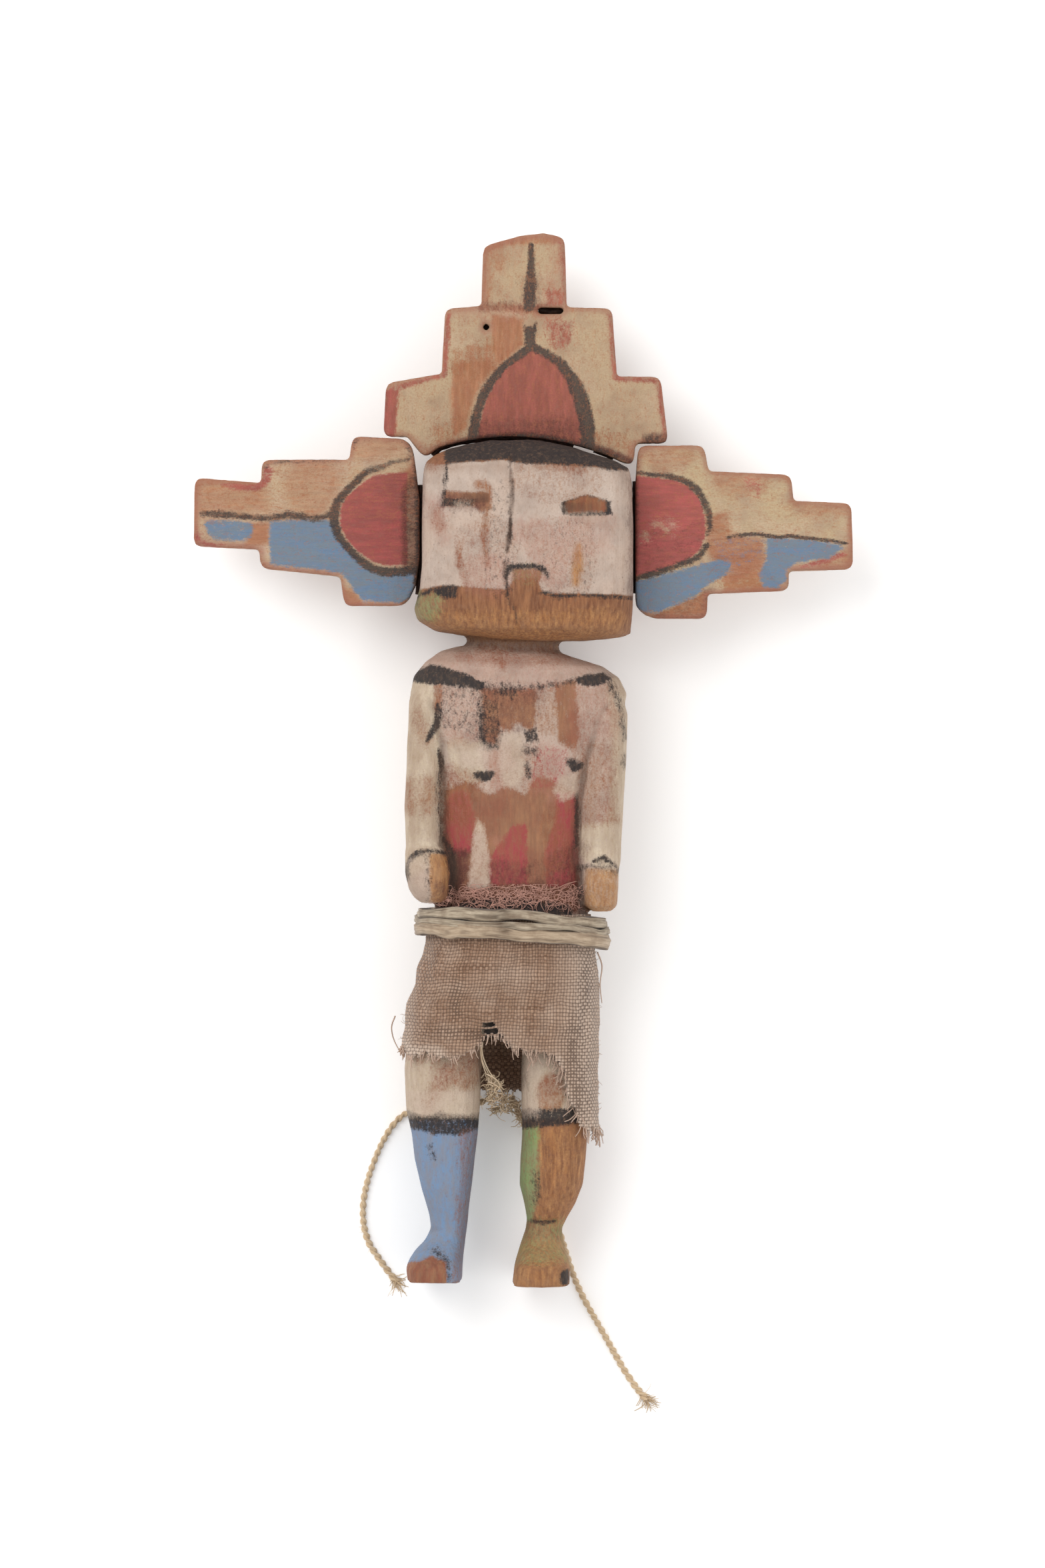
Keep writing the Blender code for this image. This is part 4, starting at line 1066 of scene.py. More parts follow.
@dataclass(frozen=True)
class SpunCotton(Finish):
    """Cotton fibre, spun or torn into strips: soft, matt, with fine fibres that run along it.

    To the eye it has a faint sheen, streaks along its length about 0.2 mm wide, and grey or tan soiling.
    """

    name: str
    light: str
    dark: str
    streak: float = 0.2
    soil: str = "8A6E58"
    soiled: float = 0.3
    # Colour of the painted shade in the band's creases.
    deep: str = "3F2D22"

    def surface(self, tree: bpy.types.NodeTree) -> dict[str, Any]:
        """Draw fibres along the strip, on a UV map in millimetres.

        Args:
            tree: The material's node tree.

        Returns:
            The sockets of the Principled BSDF.
        """
        strip = add_node(tree, "UVMap", uv_map="strip")[0]
        drawn = add_node(tree, "Mapping", {"Vector": strip, "Scale": (0.25, 1 / self.streak, 1.0)})[0]
        fibres = add_node(tree, "TexNoise", {"Vector": drawn, "Scale": 1.0, "Detail": 4.0, "Roughness": 0.65})["Fac"]
        tone = add_node(tree, "MapRange", {"Value": fibres, "From Min": 0.33, "From Max": 0.67})[0]
        colour = add_node(tree, "Mix", {0: tone, 6: linear(self.dark), 7: linear(self.light)}, data_type="RGBA")[2]
        place = add_node(tree, "TexCoord")["Object"]
        dirt = add_node(tree, "TexNoise", {"Vector": place, "Scale": 190.0, "Detail": 4.0, "Roughness": 0.62})["Fac"]
        dirt = add_node(
            tree, "MapRange", {"Value": dirt, "From Min": 0.5, "From Max": 0.78, "To Max": self.soiled * 2}
        )[0]
        colour = add_node(tree, "Mix", {0: dirt, 6: colour, 7: linear(self.soil)}, data_type="RGBA")[2]
        # Painted shade where the band's strands meet and under their folds, with one stain on the front.
        crease = add_node(tree, "Attribute", attribute_name="crease")["Fac"]
        colour = add_node(tree, "Mix", {0: crease, 6: colour, 7: linear(self.deep)}, data_type="RGBA")[2]
        bump = add_node(tree, "Bump", {"Strength": 0.7, "Distance": 0.18 * MM, "Height": fibres})
        return {
            "Base Color": colour,
            "Roughness": 0.92,
            "Normal": bump[0],
            "Specular IOR Level": 0.2,
            "Sheen Weight": 0.2,
            "Sheen Roughness": 0.5,
        }


@dataclass(frozen=True)
class BackdropPaper(Finish):
    """Heavy matt paper, white, lit faintly from behind as on a light table, its tooth almost too fine to see."""

    name: str = "backdrop_paper"
    colour: str = "FAFAFA"

    def surface(self, tree: bpy.types.NodeTree) -> dict[str, Any]:
        """Give the paper its faint tooth.

        Args:
            tree: The material's node tree.

        Returns:
            The sockets of the Principled BSDF.
        """
        place = add_node(tree, "TexCoord")["Object"]
        tooth = add_node(tree, "TexNoise", {"Vector": place, "Scale": 900.0, "Detail": 3.0})["Fac"]
        bump = add_node(tree, "Bump", {"Strength": 0.08, "Distance": 0.1 * MM, "Height": tooth})
        return {
            "Base Color": linear(self.colour),
            "Roughness": 0.9,
            "Normal": bump[0],
            "Specular IOR Level": 0.1,
            "Emission Color": linear("FFFFFF"),
            "Emission Strength": 0.15,
        }


# ---------------------------------------------------------------- carved pieces


def hollows(obj: bpy.types.Object, rounds: int = 14) -> np.ndarray:
    """How far each vertex lies below its surroundings.

    Args:
        obj: A finely meshed object.
        rounds: Smoothing rounds, each about one edge wide.

    Returns:
        Millimetres, above zero in a groove and below zero on an edge.
    """
    points = vertices(obj)
    ends = np.empty(len(obj.data.edges) * 2, np.int32)
    obj.data.edges.foreach_get("vertices", ends)
    one, two = ends[::2], ends[1::2]
    count = len(points)
    degree = np.maximum(np.bincount(one, minlength=count) + np.bincount(two, minlength=count), 1)
    smooth = points.copy()
    for _ in range(rounds):
        smooth = np.stack(
            [
                (np.bincount(one, smooth[two, k], count) + np.bincount(two, smooth[one, k], count)) / degree
                for k in range(3)
            ],
            axis=1,
        )
    return ((smooth - points) * normals(obj)).sum(axis=1)


@dataclass
class CarvedPiece:
    """A piece whittled from root: the CAD node remeshed, cut with a knife, worn and painted."""

    node: str
    name: str
    slot: str
    finish: PaintedCottonwood
    marks: tuple[Mark, ...]
    voxel: float = 0.62
    middle: float = 14.0
    face: float = 30.0
    cut_size: tuple[float, float, float] = (6.0, 17.0, 6.0)
    cut_depth: float = 0.3
    seed: int = 11
    grooves: tuple[tuple[str, float, float], ...] = ()

    def copy_node(self, source: bpy.types.Object) -> bpy.types.Object:
        """Copy the CAD node's mesh and merge its loose triangles.

        Args:
            source: The CAD node's object, which is left as it is.

        Returns:
            The copy, as one closed mesh.
        """
        mesh = source.data.copy()
        mesh.materials.clear()
        obj = bpy.data.objects.new(self.name, mesh)
        bpy.context.scene.collection.objects.link(obj)
        choose(obj)
        bpy.ops.object.mode_set(mode="EDIT")
        bpy.ops.mesh.select_all(action="SELECT")
        bpy.ops.mesh.remove_doubles(threshold=0.01 * MM)
        bpy.ops.object.mode_set(mode="OBJECT")
        return obj

    def refine(self, obj: bpy.types.Object) -> None:
        """Remesh the copy finely and round its edges as sanding does."""
        remesh = obj.modifiers.new("remesh", "REMESH")
        remesh.mode = "VOXEL"
        remesh.voxel_size = self.voxel * MM
        remesh.use_smooth_shade = True
        smooth = obj.modifiers.new("sand", "SMOOTH")
        smooth.factor = 0.5
        smooth.iterations = 2
        apply_modifiers(obj)

    def whittle(self, obj: bpy.types.Object) -> None:
        """Move the vertices into the knife's cuts, the hand's unevenness and the grooves."""
        points, outward = vertices(obj), normals(obj)
        depth = self.cut_depth * (knife_cuts(points, self.cut_size, self.seed) - 0.45)
        depth += 0.12 * mottle(points, np.asarray(self.cut_size) * 1.3, self.seed + 5)
        depth += 0.05 * mottle(points, (0.9, 4.0, 0.9), self.seed + 9)
        x, y = in_ticks(points)
        for line, width, deep in self.grooves:
            away = Brush(BLACK, line).distance(x, y) / TICKS
            facing = (outward[:, 2] > 0.5) & (points[:, 2] > self.middle)
            depth -= np.where(facing, deep * np.exp(-((np.maximum(away, 0) / width) ** 2)), 0)
        moved = points + outward * depth[:, None]
        moved[:, 2] = np.maximum(moved[:, 2], 0.0)
        set_vertices(obj, moved)

    def paint(self, obj: bpy.types.Object) -> None:
        """Work out each coat's distance at each vertex and keep it on the mesh."""
        points = vertices(obj)
        x, y = in_ticks(points)
        # A hand-held brush wanders by a tick or so.
        x = x + 1.3 * mottle(points, 2.2, self.seed + 21) + 1.6 * mottle(points, 7.0, self.seed + 22)
        y = y + 1.3 * mottle(points, 2.2, self.seed + 23) + 1.6 * mottle(points, 7.0, self.seed + 24)
        level = points[:, 2] + 1.2 * mottle(points, 5.0, self.seed + 25)
        coats = {pigment: np.full(len(points), FAR) for pigment in Pigment}
        loose_x = x + 5.0 * mottle(points, 4.5, self.seed + 31)
        loose_y = y + 6.0 * mottle(points, 5.5, self.seed + 32)
        for mark in self.marks:
            across, down = (loose_x, loose_y) if mark.weak() and isinstance(mark, Patch) else (x, y)
            coats[mark.pigment] = np.minimum(
                coats[mark.pigment], mark.value(across, down, level, self.middle, self.face)
            )
        for pigment, values in coats.items():
            write_attribute(obj, pigment.value, values)
        write_attribute(obj, "hollow", hollows(obj))

    def build(self, source: bpy.types.Object) -> bpy.types.Object:
        """Make the finished piece.

        Args:
            source: The CAD node's object.

        Returns:
            The piece, which replaces its node.
        """
        obj = self.copy_node(source)
        self.refine(obj)
        self.whittle(obj)
        self.paint(obj)
        hand_in(obj, self.finish.build(), self.node)
        return obj


# ---------------------------------------------------------------- threads and cloth


def frames(route: np.ndarray) -> tuple[np.ndarray, np.ndarray, np.ndarray]:
    """Three square directions at each point of a line.

    Args:
        route: The line's points.

    Returns:
        The way ahead, the way to the side and the way up, one row for each point.
    """
    ahead = np.gradient(route, axis=0)
    ahead /= np.maximum(np.linalg.norm(ahead, axis=1), 1e-9)[:, None]
    side = np.cross(ahead, np.where(np.abs(ahead[:, 2:]) > 0.8, [[1.0, 0, 0]], [[0, 0, 1.0]]))
    side /= np.maximum(np.linalg.norm(side, axis=1), 1e-9)[:, None]
    return ahead, side, np.cross(side, ahead)


def tube_faces(
    run: np.ndarray, sides: int, wide: float, start: int = 0, closed: bool = False, twist: float = 0.0
) -> tuple[list[list[int]], list[tuple[float, float]]]:
    """Skin rings of points as a tube.

    Args:
        run: How far along the tube each ring lies; a closed tube's first ring comes again at the end.
        sides: Points in a ring.
        wide: One side's width on the UV map, in millimetres.
        start: The number of the first ring's first point.
        closed: Whether the tube comes back to its start; if not, its ends get caps.
        twist: How far the UV map slips round for each millimetre along.

    Returns:
        The faces, and a place on the UV map for each of their corners.
    """
    faces, strips = [], []
    rings = len(run) - int(closed)
    for ring in range(len(run) - 1):
        here, there = start + ring * sides, start + (ring + 1) % rings * sides
        for corner in range(sides):
            beside = (corner + 1) % sides
            faces.append([here + corner, here + beside, there + beside, there + corner])
            low, high = corner * wide, (corner + 1) * wide
            near, far = twist * run[ring], twist * run[ring + 1]
            strips += [(run[ring], low - near), (run[ring], high - near)]
            strips += [(run[ring + 1], high - far), (run[ring + 1], low - far)]
    if not closed:
        last = start + (rings - 1) * sides
        faces.append([start + corner for corner in reversed(range(sides))])
        faces.append([last + corner for corner in range(sides)])
        strips += [(0.0, 0.0)] * (2 * sides)
    return faces, strips


def tube_mesh(
    name: str, routes: Iterable[np.ndarray], radii: Iterable[float], sides: int = 4, taper: float = 0.5
) -> bpy.types.Object:
    """Make many thin round threads as one mesh, with a UV map that runs along each in millimetres.

    Args:
        name: The object's name.
        routes: Each thread's points, in millimetres.
        radii: Each thread's radius, in millimetres.
        sides: Faces round a thread.
        taper: What is left of the radius at the far end.

    Returns:
        The new object.
    """
    points: list[np.ndarray] = []
    faces: list[list[int]] = []
    strips: list[tuple[float, float]] = []
    for route, radius in zip(routes, radii):
        start = len(points)
        _, side, up = frames(route)
        for ring, centre in enumerate(route):
            thin = radius * (1 - (1 - taper) * ring / (len(route) - 1))
            for corner in range(sides):
                turn = TURN * corner / sides
                points.append(centre + thin * (math.cos(turn) * side[ring] + math.sin(turn) * up[ring]))
        skin, places = tube_faces(lengths(route), sides, TURN * radius / sides, start)
        faces += skin
        strips += places
    obj = new_object(name, np.array(points), faces)
    write_places(obj, "strip", strips)
    return obj


def drifting(
    rng: np.random.Generator, start: np.ndarray, heading: np.ndarray, length: float, curl: float, steps: int = 9
) -> np.ndarray:
    """The route of one loose thread, which turns a little at each step.

    Args:
        rng: The seeded source of chance.
        start: Where it comes out, in millimetres.
        heading: The way it sets off.
        length: Its length in millimetres.
        curl: How much it turns at each step.
        steps: Steps along it.

    Returns:
        Its points.
    """
    places = [np.asarray(start, float)]
    way = np.asarray(heading, float) / np.linalg.norm(heading)
    bend = rng.normal(0, curl, 3)
    for _ in range(steps):
        bend = 0.7 * bend + rng.normal(0, curl, 3)
        way = way + bend
        way = way / np.linalg.norm(way)
        places.append(places[-1] + way * length / steps)
    return np.array(places)


@dataclass
class BeltString:
    """A two-ply cotton string that comes from behind the kilt and lies on the ground, frayed at its end."""

    node: str
    name: str
    route: tuple[tuple[float, float, float], ...]
    seed: int
    diameter: float = 1.4
    ply: float = 0.4
    apart: float = 0.33
    pitch: float = 3.4
    girth: float = 4.4
    step: float = 0.36
    sides: int = 18
    hairs: int = 46
    loosen: float = 0.35
    tuft_length: tuple[float, float] = (1.2, 4.6)
    tuft_count: int = 60

    def build(self) -> None:
        """Make the string, its frayed end and the fuzz along it."""
        line = evenly(rounded_line(np.array(self.route), 10), self.step)
        ahead, side, up = frames(line)
        run = lengths(line)
        share = run / run[-1]
        angles = np.linspace(0, TURN, self.sides, endpoint=False)
        rng = np.random.default_rng(self.seed)
        points = []
        wobble = mottle(on_line(run), 3.1, self.seed)
        thick = mottle(on_line(run, 7.0), 5.0, self.seed + 1)
        for ring, centre in enumerate(line):
            turn = TURN * run[ring] / self.pitch + 0.5 * wobble[ring]
            loose = 1 + self.loosen * max(0.0, share[ring] - 0.7) / 0.3 + 0.1 * thick[ring]
            apart, ply = self.apart * loose, self.ply * (1 + 0.08 * thick[ring])
            for angle in angles:
                along = abs(math.cos(angle - turn))
                across = math.sin(angle - turn)
                edge = apart * along + math.sqrt(max(ply**2 - (apart * across) ** 2, (0.35 * ply) ** 2))
                points.append(centre + edge * (math.cos(angle) * side[ring] + math.sin(angle) * up[ring]))
        faces, strips = tube_faces(run, self.sides, self.girth / self.sides, twist=self.girth / self.pitch)
        placed = np.array(points)
        placed[:, 2] = np.maximum(placed[:, 2], 0.02)
        string = new_object(self.name, placed, faces)
        write_places(string, "strip", strips)

        routes, radii = [], []
        heading = line[-1] - line[-6]
        for _ in range(self.tuft_count):
            start = line[-1 - int(rng.integers(1, 7))] + rng.normal(0, 0.28, 3) * [1, 1, 0.6]
            spread = heading / np.linalg.norm(heading) + rng.normal(0, 0.36, 3) * [1, 1, 0.25]
            routes.append(drifting(rng, start, spread, rng.uniform(*self.tuft_length), 0.11))
            radii.append(rng.uniform(0.05, 0.13))
        for _ in range(self.hairs):
            ring = int(rng.integers(4, len(line) - 4))
            start = line[ring] + rng.normal(0, 0.3, 3) * [1, 1, 0.6]
            spread = ahead[ring] + rng.normal(0, 0.6, 3) * [1, 1, 0.5]
            routes.append(drifting(rng, start, spread, rng.uniform(0.8, 2.0), 0.2, 6))
            radii.append(rng.uniform(0.02, 0.04))
        for route in routes:
            route[:, 2] = np.clip(route[:, 2], 0.12, 1.9)
        tuft = tube_mesh(self.name + "_frayed_end", routes, radii)
        finish = SpunCotton("two_ply_cotton_string", "E6D2B4", "BE9E77", 0.18, "A08260", 0.2).build()
        hand_in(string, finish, self.node)
        hand_in(tuft, finish)


@dataclass(frozen=True)
class Wrap:
    """One level of cloth round the hips: a superellipse by its four sides, in millimetres."""

    y: float
    left: float
    right: float
    back: float
    front: float
    power: float

    def ring(self, count: int) -> np.ndarray:
        """Points round the wrap, evenly spaced, from the middle of the back, up the left side first.

        Args:
            count: How many points.

        Returns:
            X and Z of each point, in millimetres.
        """
        turn = np.linspace(-math.pi / 2, -math.pi / 2 - 2 * math.pi, 1441)
        half_x, half_z = (self.right - self.left) / 2, (self.front - self.back) / 2
        x = np.sign(np.cos(turn)) * np.abs(np.cos(turn)) ** (2 / self.power) * half_x + (self.left + self.right) / 2
        z = np.sign(np.sin(turn)) * np.abs(np.sin(turn)) ** (2 / self.power) * half_z + (self.back + self.front) / 2
        run = np.concatenate([[0], np.cumsum(np.hypot(np.diff(x), np.diff(z)))])
        at = np.linspace(0, run[-1], count, endpoint=False)
        return np.stack([np.interp(at, run, x), np.interp(at, run, z)], axis=1)


KILT_LEVELS = (
    Wrap(-33.0, -19.6, 14.5, 3.2, 29.1, 2.6),
    Wrap(-39.0, -20.8, 15.2, 2.5, 30.0, 2.9),
    Wrap(-46.0, -22.8, 15.8, 1.7, 29.6, 3.0),
    Wrap(-54.0, -25.1, 16.1, 0.5, 28.4, 3.2),
    Wrap(-62.0, -26.0, 16.0, 0.6, 27.4, 3.4),
    Wrap(-80.0, -26.5, 16.2, 0.6, 26.6, 3.4),
)


@dataclass
class Kilt:
    """One piece of coarse cotton wrapped round the hips, ragged at the hem and torn above the gap of the legs."""

    thread: float = 0.7
    top: float = -33.0
    bottom: float = -80.0
    cloth: float = 0.55
    relief: float = 0.13
    front_hem: tuple[tuple[float, float], ...] = (
        (-27, -60.5), (-24, -63.4), (-20, -62.6), (-17.5, -62.9), (-15.5, -63.6), (-12.6, -63.2), (-10.2, -62.0),
        (-8.6, -61.4), (-8.3, -59.4), (-5.0, -59.0), (-2.9, -59.6), (-2.6, -60.9), (-1.2, -61.6), (2.0, -62.4),
        (5.0, -62.7), (7.5, -63.4), (8.6, -66.0), (9.6, -71.0), (11.0, -75.5), (12.6, -78.6), (17, -79.6),
    )
    back_hem: tuple[tuple[float, float], ...] = (
        (-27, -61.0), (-22, -66.5), (-10, -71.0), (2, -72.0), (10, -75.5), (17, -79.6),
    )
    slack_places: tuple[tuple[float, float, float, float], ...] = (
        (-14.2, -51.5, 1.3, 4.5), (-14.6, -58.0, 5.0, 1.0), (11.0, -61.5, 2.2, 7.0), (12.0, -72.0, 2.0, 5.0),
        (13.5, -48.0, 1.2, 5.0), (-9.0, -58.8, 3.0, 1.2),
    )
    slits: tuple[tuple[float, float, float, float], ...] = ((-8.7, -6.3, -56.8, -56.1), (-8.8, -5.6, -58.2, -57.4))

    def hem(self, x: np.ndarray, z: np.ndarray) -> np.ndarray:
        """Level of the hem at points of the wrap.

        Args:
            x: Millimetres across.
            z: Millimetres up.

        Returns:
            The hem's Y, in millimetres.
        """
        front, back = np.array(self.front_hem), np.array(self.back_hem)
        share = np.clip((z - 9.0) / 8.0, 0, 1)
        return share * np.interp(x, *front.T) + (1 - share) * np.interp(x, *back.T)

    def grid(self) -> tuple[np.ndarray, int, int]:
        """The cloth's points before its edge is torn.

        Returns:
            The points in rows from the top down, the number of columns and of rows.
        """
        widest = KILT_LEVELS[4].ring(1440)
        around = lengths(np.vstack([widest, widest[:1]]))[-1]
        columns = 2 * int(round(around / self.thread))
        rows = int((self.top - self.bottom) / self.thread * 2) + 1
        rings = np.array([level.ring(columns) for level in KILT_LEVELS])
        levels = np.array([level.y for level in KILT_LEVELS])
        made = []
        for row in range(rows):
            y = self.top - row * self.thread / 2
            place = np.interp(-y, -levels, np.arange(len(levels)))
            low = min(int(place), len(levels) - 2)
            mix = place - low
            mix = mix * mix * (3 - 2 * mix)
            ring = rings[low] * (1 - mix) + rings[low + 1] * mix
            made.append(np.stack([ring[:, 0], np.full(columns, y), ring[:, 1]], axis=1))
        return np.concatenate(made), columns, rows

    def build(self, figure: bpy.types.Object) -> None:
        """Make the cloth and its loose threads.

        Args:
            figure: The carved figure that it hangs on; not used.
        """
        points, columns, rows = self.grid()
        column = np.tile(np.arange(columns), rows)
        row = np.repeat(np.arange(rows), columns)
        spread = points.reshape(rows, columns, 3)
        tangent = np.roll(spread, -1, axis=1) - np.roll(spread, 1, axis=1)
        outward = np.stack([-tangent[..., 2], tangent[..., 1] * 0, tangent[..., 0]], axis=2).reshape(-1, 3)
        outward /= np.linalg.norm(outward, axis=1)[:, None]
        hem = self.hem(points[:, 0], points[:, 2])
        above = points[:, 1] - hem
        # Threads lie over and under each other in turn, so the heights go like a chequer board.
        weave = np.sin(math.pi * (column / 2 + 0.25)) * np.sin(math.pi * (row / 2 + 0.25)) * 2
        shift = self.relief * weave
        shift += 0.28 * mottle(points, (4.0, 14.0, 4.0), 31) + 0.16 * mottle(points, (2.2, 5.0, 2.2), 32)
        shift += 0.3 * np.exp(-np.maximum(above, 0) / 2.5) * mottle(points, (1.6, 3.0, 1.6), 33)
        points = points + outward * shift[:, None]
        points[:, 0] += 0.22 * mottle(points, 3.0, 34) + 0.12 * mottle(points, 1.3, 35)
        points[:, 1] += 0.3 * mottle(points, 4.0, 36) + 0.1 * mottle(points, 1.3, 37)
        points[:, 2] = np.maximum(points[:, 2], 0.05)

        jag = 0.9 * mottle(on_line(column), 2.3, 41)
        jag += 1.0 * hashed(column // 2, column * 0, column * 0, 42) - 0.9
        torn = above < jag * np.where(points[:, 2] > 14, 1.0, 0.6)
        torn &= row > 20
        for left, right, low, high in self.slits:
            torn |= (
                (points[:, 0] > left) & (points[:, 0] < right) & (points[:, 1] > low) & (points[:, 1] < high)
                & (points[:, 2] > 20)
            )
        kept, faces, threads = ~torn, [], []
        for r in range(rows - 1):
            for c in range(columns):
                d = (c + 1) % columns
                corners = [r * columns + c, (r + 1) * columns + c, (r + 1) * columns + d, r * columns + d]
                if all(kept[corner] for corner in corners):
                    faces.append(corners)
                    u, v = c / 2 + 0.25, r / 2 + 0.25
                    threads += [(u, v), (u, v + 0.5), (u + 0.5, v + 0.5), (u + 0.5, v)]
        cloth = new_object("kilt_cloth", points, faces)
        write_places(cloth, "threads", threads)
        fray = 0.62 * np.exp(-np.maximum(above, 0) / 1.6) * (0.7 + 0.3 * mottle(points, 1.6, 43))
        x, y = points[:, 0], points[:, 1]
        side = np.clip((x - 5.0) / 8.0, 0, 1) * 0.7 + np.clip((-21.5 - x) / 3.5, 0, 1) * 0.5
        strip = 0.5 * np.clip((2.6 - above) / 1.0, 0, 1) * np.clip((-16.0 - x) / 2.0, 0, 1)
        write_attribute(cloth, "fray", np.clip(fray + side + strip, 0, 0.85))
        slack = np.zeros(len(points))
        for at_x, at_y, wide, tall in self.slack_places:
            slack += np.exp(-(((x - at_x) / wide) ** 2) - ((y - at_y) / tall) ** 2)
        write_attribute(cloth, "loose", np.clip(slack, 0, 1) * (0.5 + 0.5 * mottle(points, 1.0, 44)))
        turn_faces_out(cloth)
        solid = cloth.modifiers.new("cloth", "SOLIDIFY")
        solid.thickness = self.cloth * MM
        solid.offset = -1.0
        apply_modifiers(cloth)
        hand_in(cloth, HandspunWeave().build(), "kilt")

        strands = self.loose_threads(points, outward, above, kept, columns, rows)
        yarn = SpunCotton("frayed_cotton_thread", "D6BEAC", "AC8C78", 0.15, "8A6852", 0.3)
        hand_in(strands, yarn.build())
        tuft = self.frayed_tuft()
        fibre = SpunCotton("raw_cotton_fibre", "F6EAD4", "E0BC8E", 0.15, "B67C48", 0.22)
        hand_in(tuft, fibre.build())

    def loose_threads(
        self, points: np.ndarray, outward: np.ndarray, above: np.ndarray, kept: np.ndarray, columns: int, rows: int
    ) -> bpy.types.Object:
        """Thread ends that hang from the hem and stand off the worn sides.

        Args:
            points: The cloth's points.
            outward: The way out of the cloth at each.
            above: Millimetres above the hem.
            kept: Which points the cloth has.
            columns: Columns of the grid.
            rows: Rows of the grid.

        Returns:
            The threads as one object.
        """
        rng = np.random.default_rng(51)
        routes, radii = [], []
        standing = kept.reshape(rows, columns)
        for column in range(columns):
            if rng.random() > 0.62:
                continue
            rows_kept = np.flatnonzero(standing[:, column])
            spot = rows_kept[-1] * columns + column
            start = points[spot] + outward[spot] * 0.05
            if start[2] < 1.0:
                continue
            down = np.array([0, -1.0, 0]) + outward[spot] * rng.normal(-0.02, 0.12) + rng.normal(0, 0.12, 3)
            long = rng.uniform(0.8, 2.6) * (1.5 if start[0] > 8 else 1.0)
            routes.append(drifting(rng, start + [0, 0.5, 0], down, long, 0.07, 7))
            radii.append(rng.uniform(0.1, 0.2))
        edge = np.flatnonzero(kept & (above > 1.0) & ((points[:, 0] > 13.5) | (points[:, 0] < -24.0)))
        for spot in rng.choice(edge, 110, replace=False):
            way = outward[spot] + rng.normal(0, 0.7, 3)
            routes.append(drifting(rng, points[spot], way, rng.uniform(0.5, 1.7), 0.25, 6))
            radii.append(rng.uniform(0.03, 0.07))
        # The torn edge over the thigh keeps long ends, and a few drape the thigh in front of it.
        slope = ((2.0, -63.4), (5.0, -63.6), (8.0, -65.0), (9.0, -68.0), (10.2, -72.0), (12.0, -77.0))
        for _ in range(46):
            place = rng.uniform(0, len(slope) - 1.001)
            a, b = np.array(slope[int(place)]), np.array(slope[int(place) + 1])
            x, y = a + (b - a) * (place % 1)
            start = np.array([x + rng.normal(0, 0.4), y + 1.2, 26.6 - 0.02 * x * x])
            way = np.array([rng.normal(-0.1, 0.22), -1.0, rng.normal(-0.05, 0.05)])
            routes.append(drifting(rng, start, way, rng.uniform(1.6, 4.6), 0.08, 8))
            radii.append(rng.uniform(0.12, 0.22))
        special = (
            ((-27.6, -55.0, 8.0), (-28.4, -57.5, 6.5), (-27.8, -60.5, 5.0), (-25.8, -64.0, 7.0)),
            ((15.9, -41.0, 20.0), (16.9, -44.0, 19.0), (16.5, -48.0, 18.5), (16.9, -52.0, 17.5)),
            ((14.5, -76.0, 22.0), (15.2, -79.0, 21.0), (14.6, -81.0, 19.5)),
            ((13.2, -76.0, 23.5), (13.0, -79.5, 22.5), (14.2, -80.6, 21.5)),
        )
        for line in special:
            routes.append(rounded_line(np.array(line), 6))
            radii.append(0.16)
        low, high = np.array([-28.5, -90.0, 0.1]), np.array([17.2, 0.0, 33.0])
        for route in routes:
            np.clip(route, low, high, out=route)
        return tube_mesh("kilt_loose_threads", routes, radii, 4, 0.6)

    def frayed_tuft(self) -> bpy.types.Object:
        """The knot of bright unspun fibre behind the gap between the legs.

        Returns:
            The fibres as one object.
        """
        rng = np.random.default_rng(77)
        routes, radii = [], []
        knots = (
            ((-7.4, -68.0, 16.0), 1.0, 20), ((-6.2, -69.6, 16.0), 1.2, 40), ((-6.8, -71.8, 13.0), 1.6, 64),
            ((-4.4, -73.2, 10.0), 1.5, 56), ((-2.4, -74.4, 7.0), 1.2, 44), ((-5.6, -75.2, 7.0), 0.9, 26),
            ((-0.8, -76.4, 4.5), 0.9, 26),
        )
        for centre, spread, count in knots:
            for _ in range(count):
                start = np.array(centre) + rng.normal(0, spread * 0.5, 3)
                way = rng.normal(0, 1, 3) + [0.3, -0.5, 0.0]
                routes.append(drifting(rng, start, way, rng.uniform(1.2, 3.6), 0.4, 8))
                radii.append(rng.uniform(0.07, 0.18))
        for line in (
            ((-9.0, -60.3, 24.0), (-8.6, -63.4, 21.0), (-7.4, -66.4, 19.0), (-5.8, -68.6, 17.5)),
            ((-8.7, -60.2, 23.5), (-8.9, -63.6, 20.5), (-7.8, -66.4, 18.5), (-6.6, -68.4, 17.5)),
            ((-9.2, -60.6, 23.0), (-8.9, -64.2, 20.0), (-7.9, -67.4, 18.0)),
            ((-7.8, -67.2, 18.5), (-6.0, -68.2, 18.0), (-5.0, -69.6, 17.0), (-5.6, -70.8, 16.0), (-7.0, -70.4, 15.5)),
            ((-7.4, -68.8, 17.5), (-5.6, -69.8, 17.0), (-4.4, -71.4, 15.0), (-5.0, -72.6, 13.0)),
        ):
            routes.append(rounded_line(np.array(line), 6))
            radii.append(0.17)
        for route in routes:
            route[:, 2] = np.clip(route[:, 2], 0.3, 24.0)
            route[:, 1] = np.maximum(route[:, 1], -79.0)
        return tube_mesh("kilt_frayed_tuft", routes, radii, 4, 0.6)


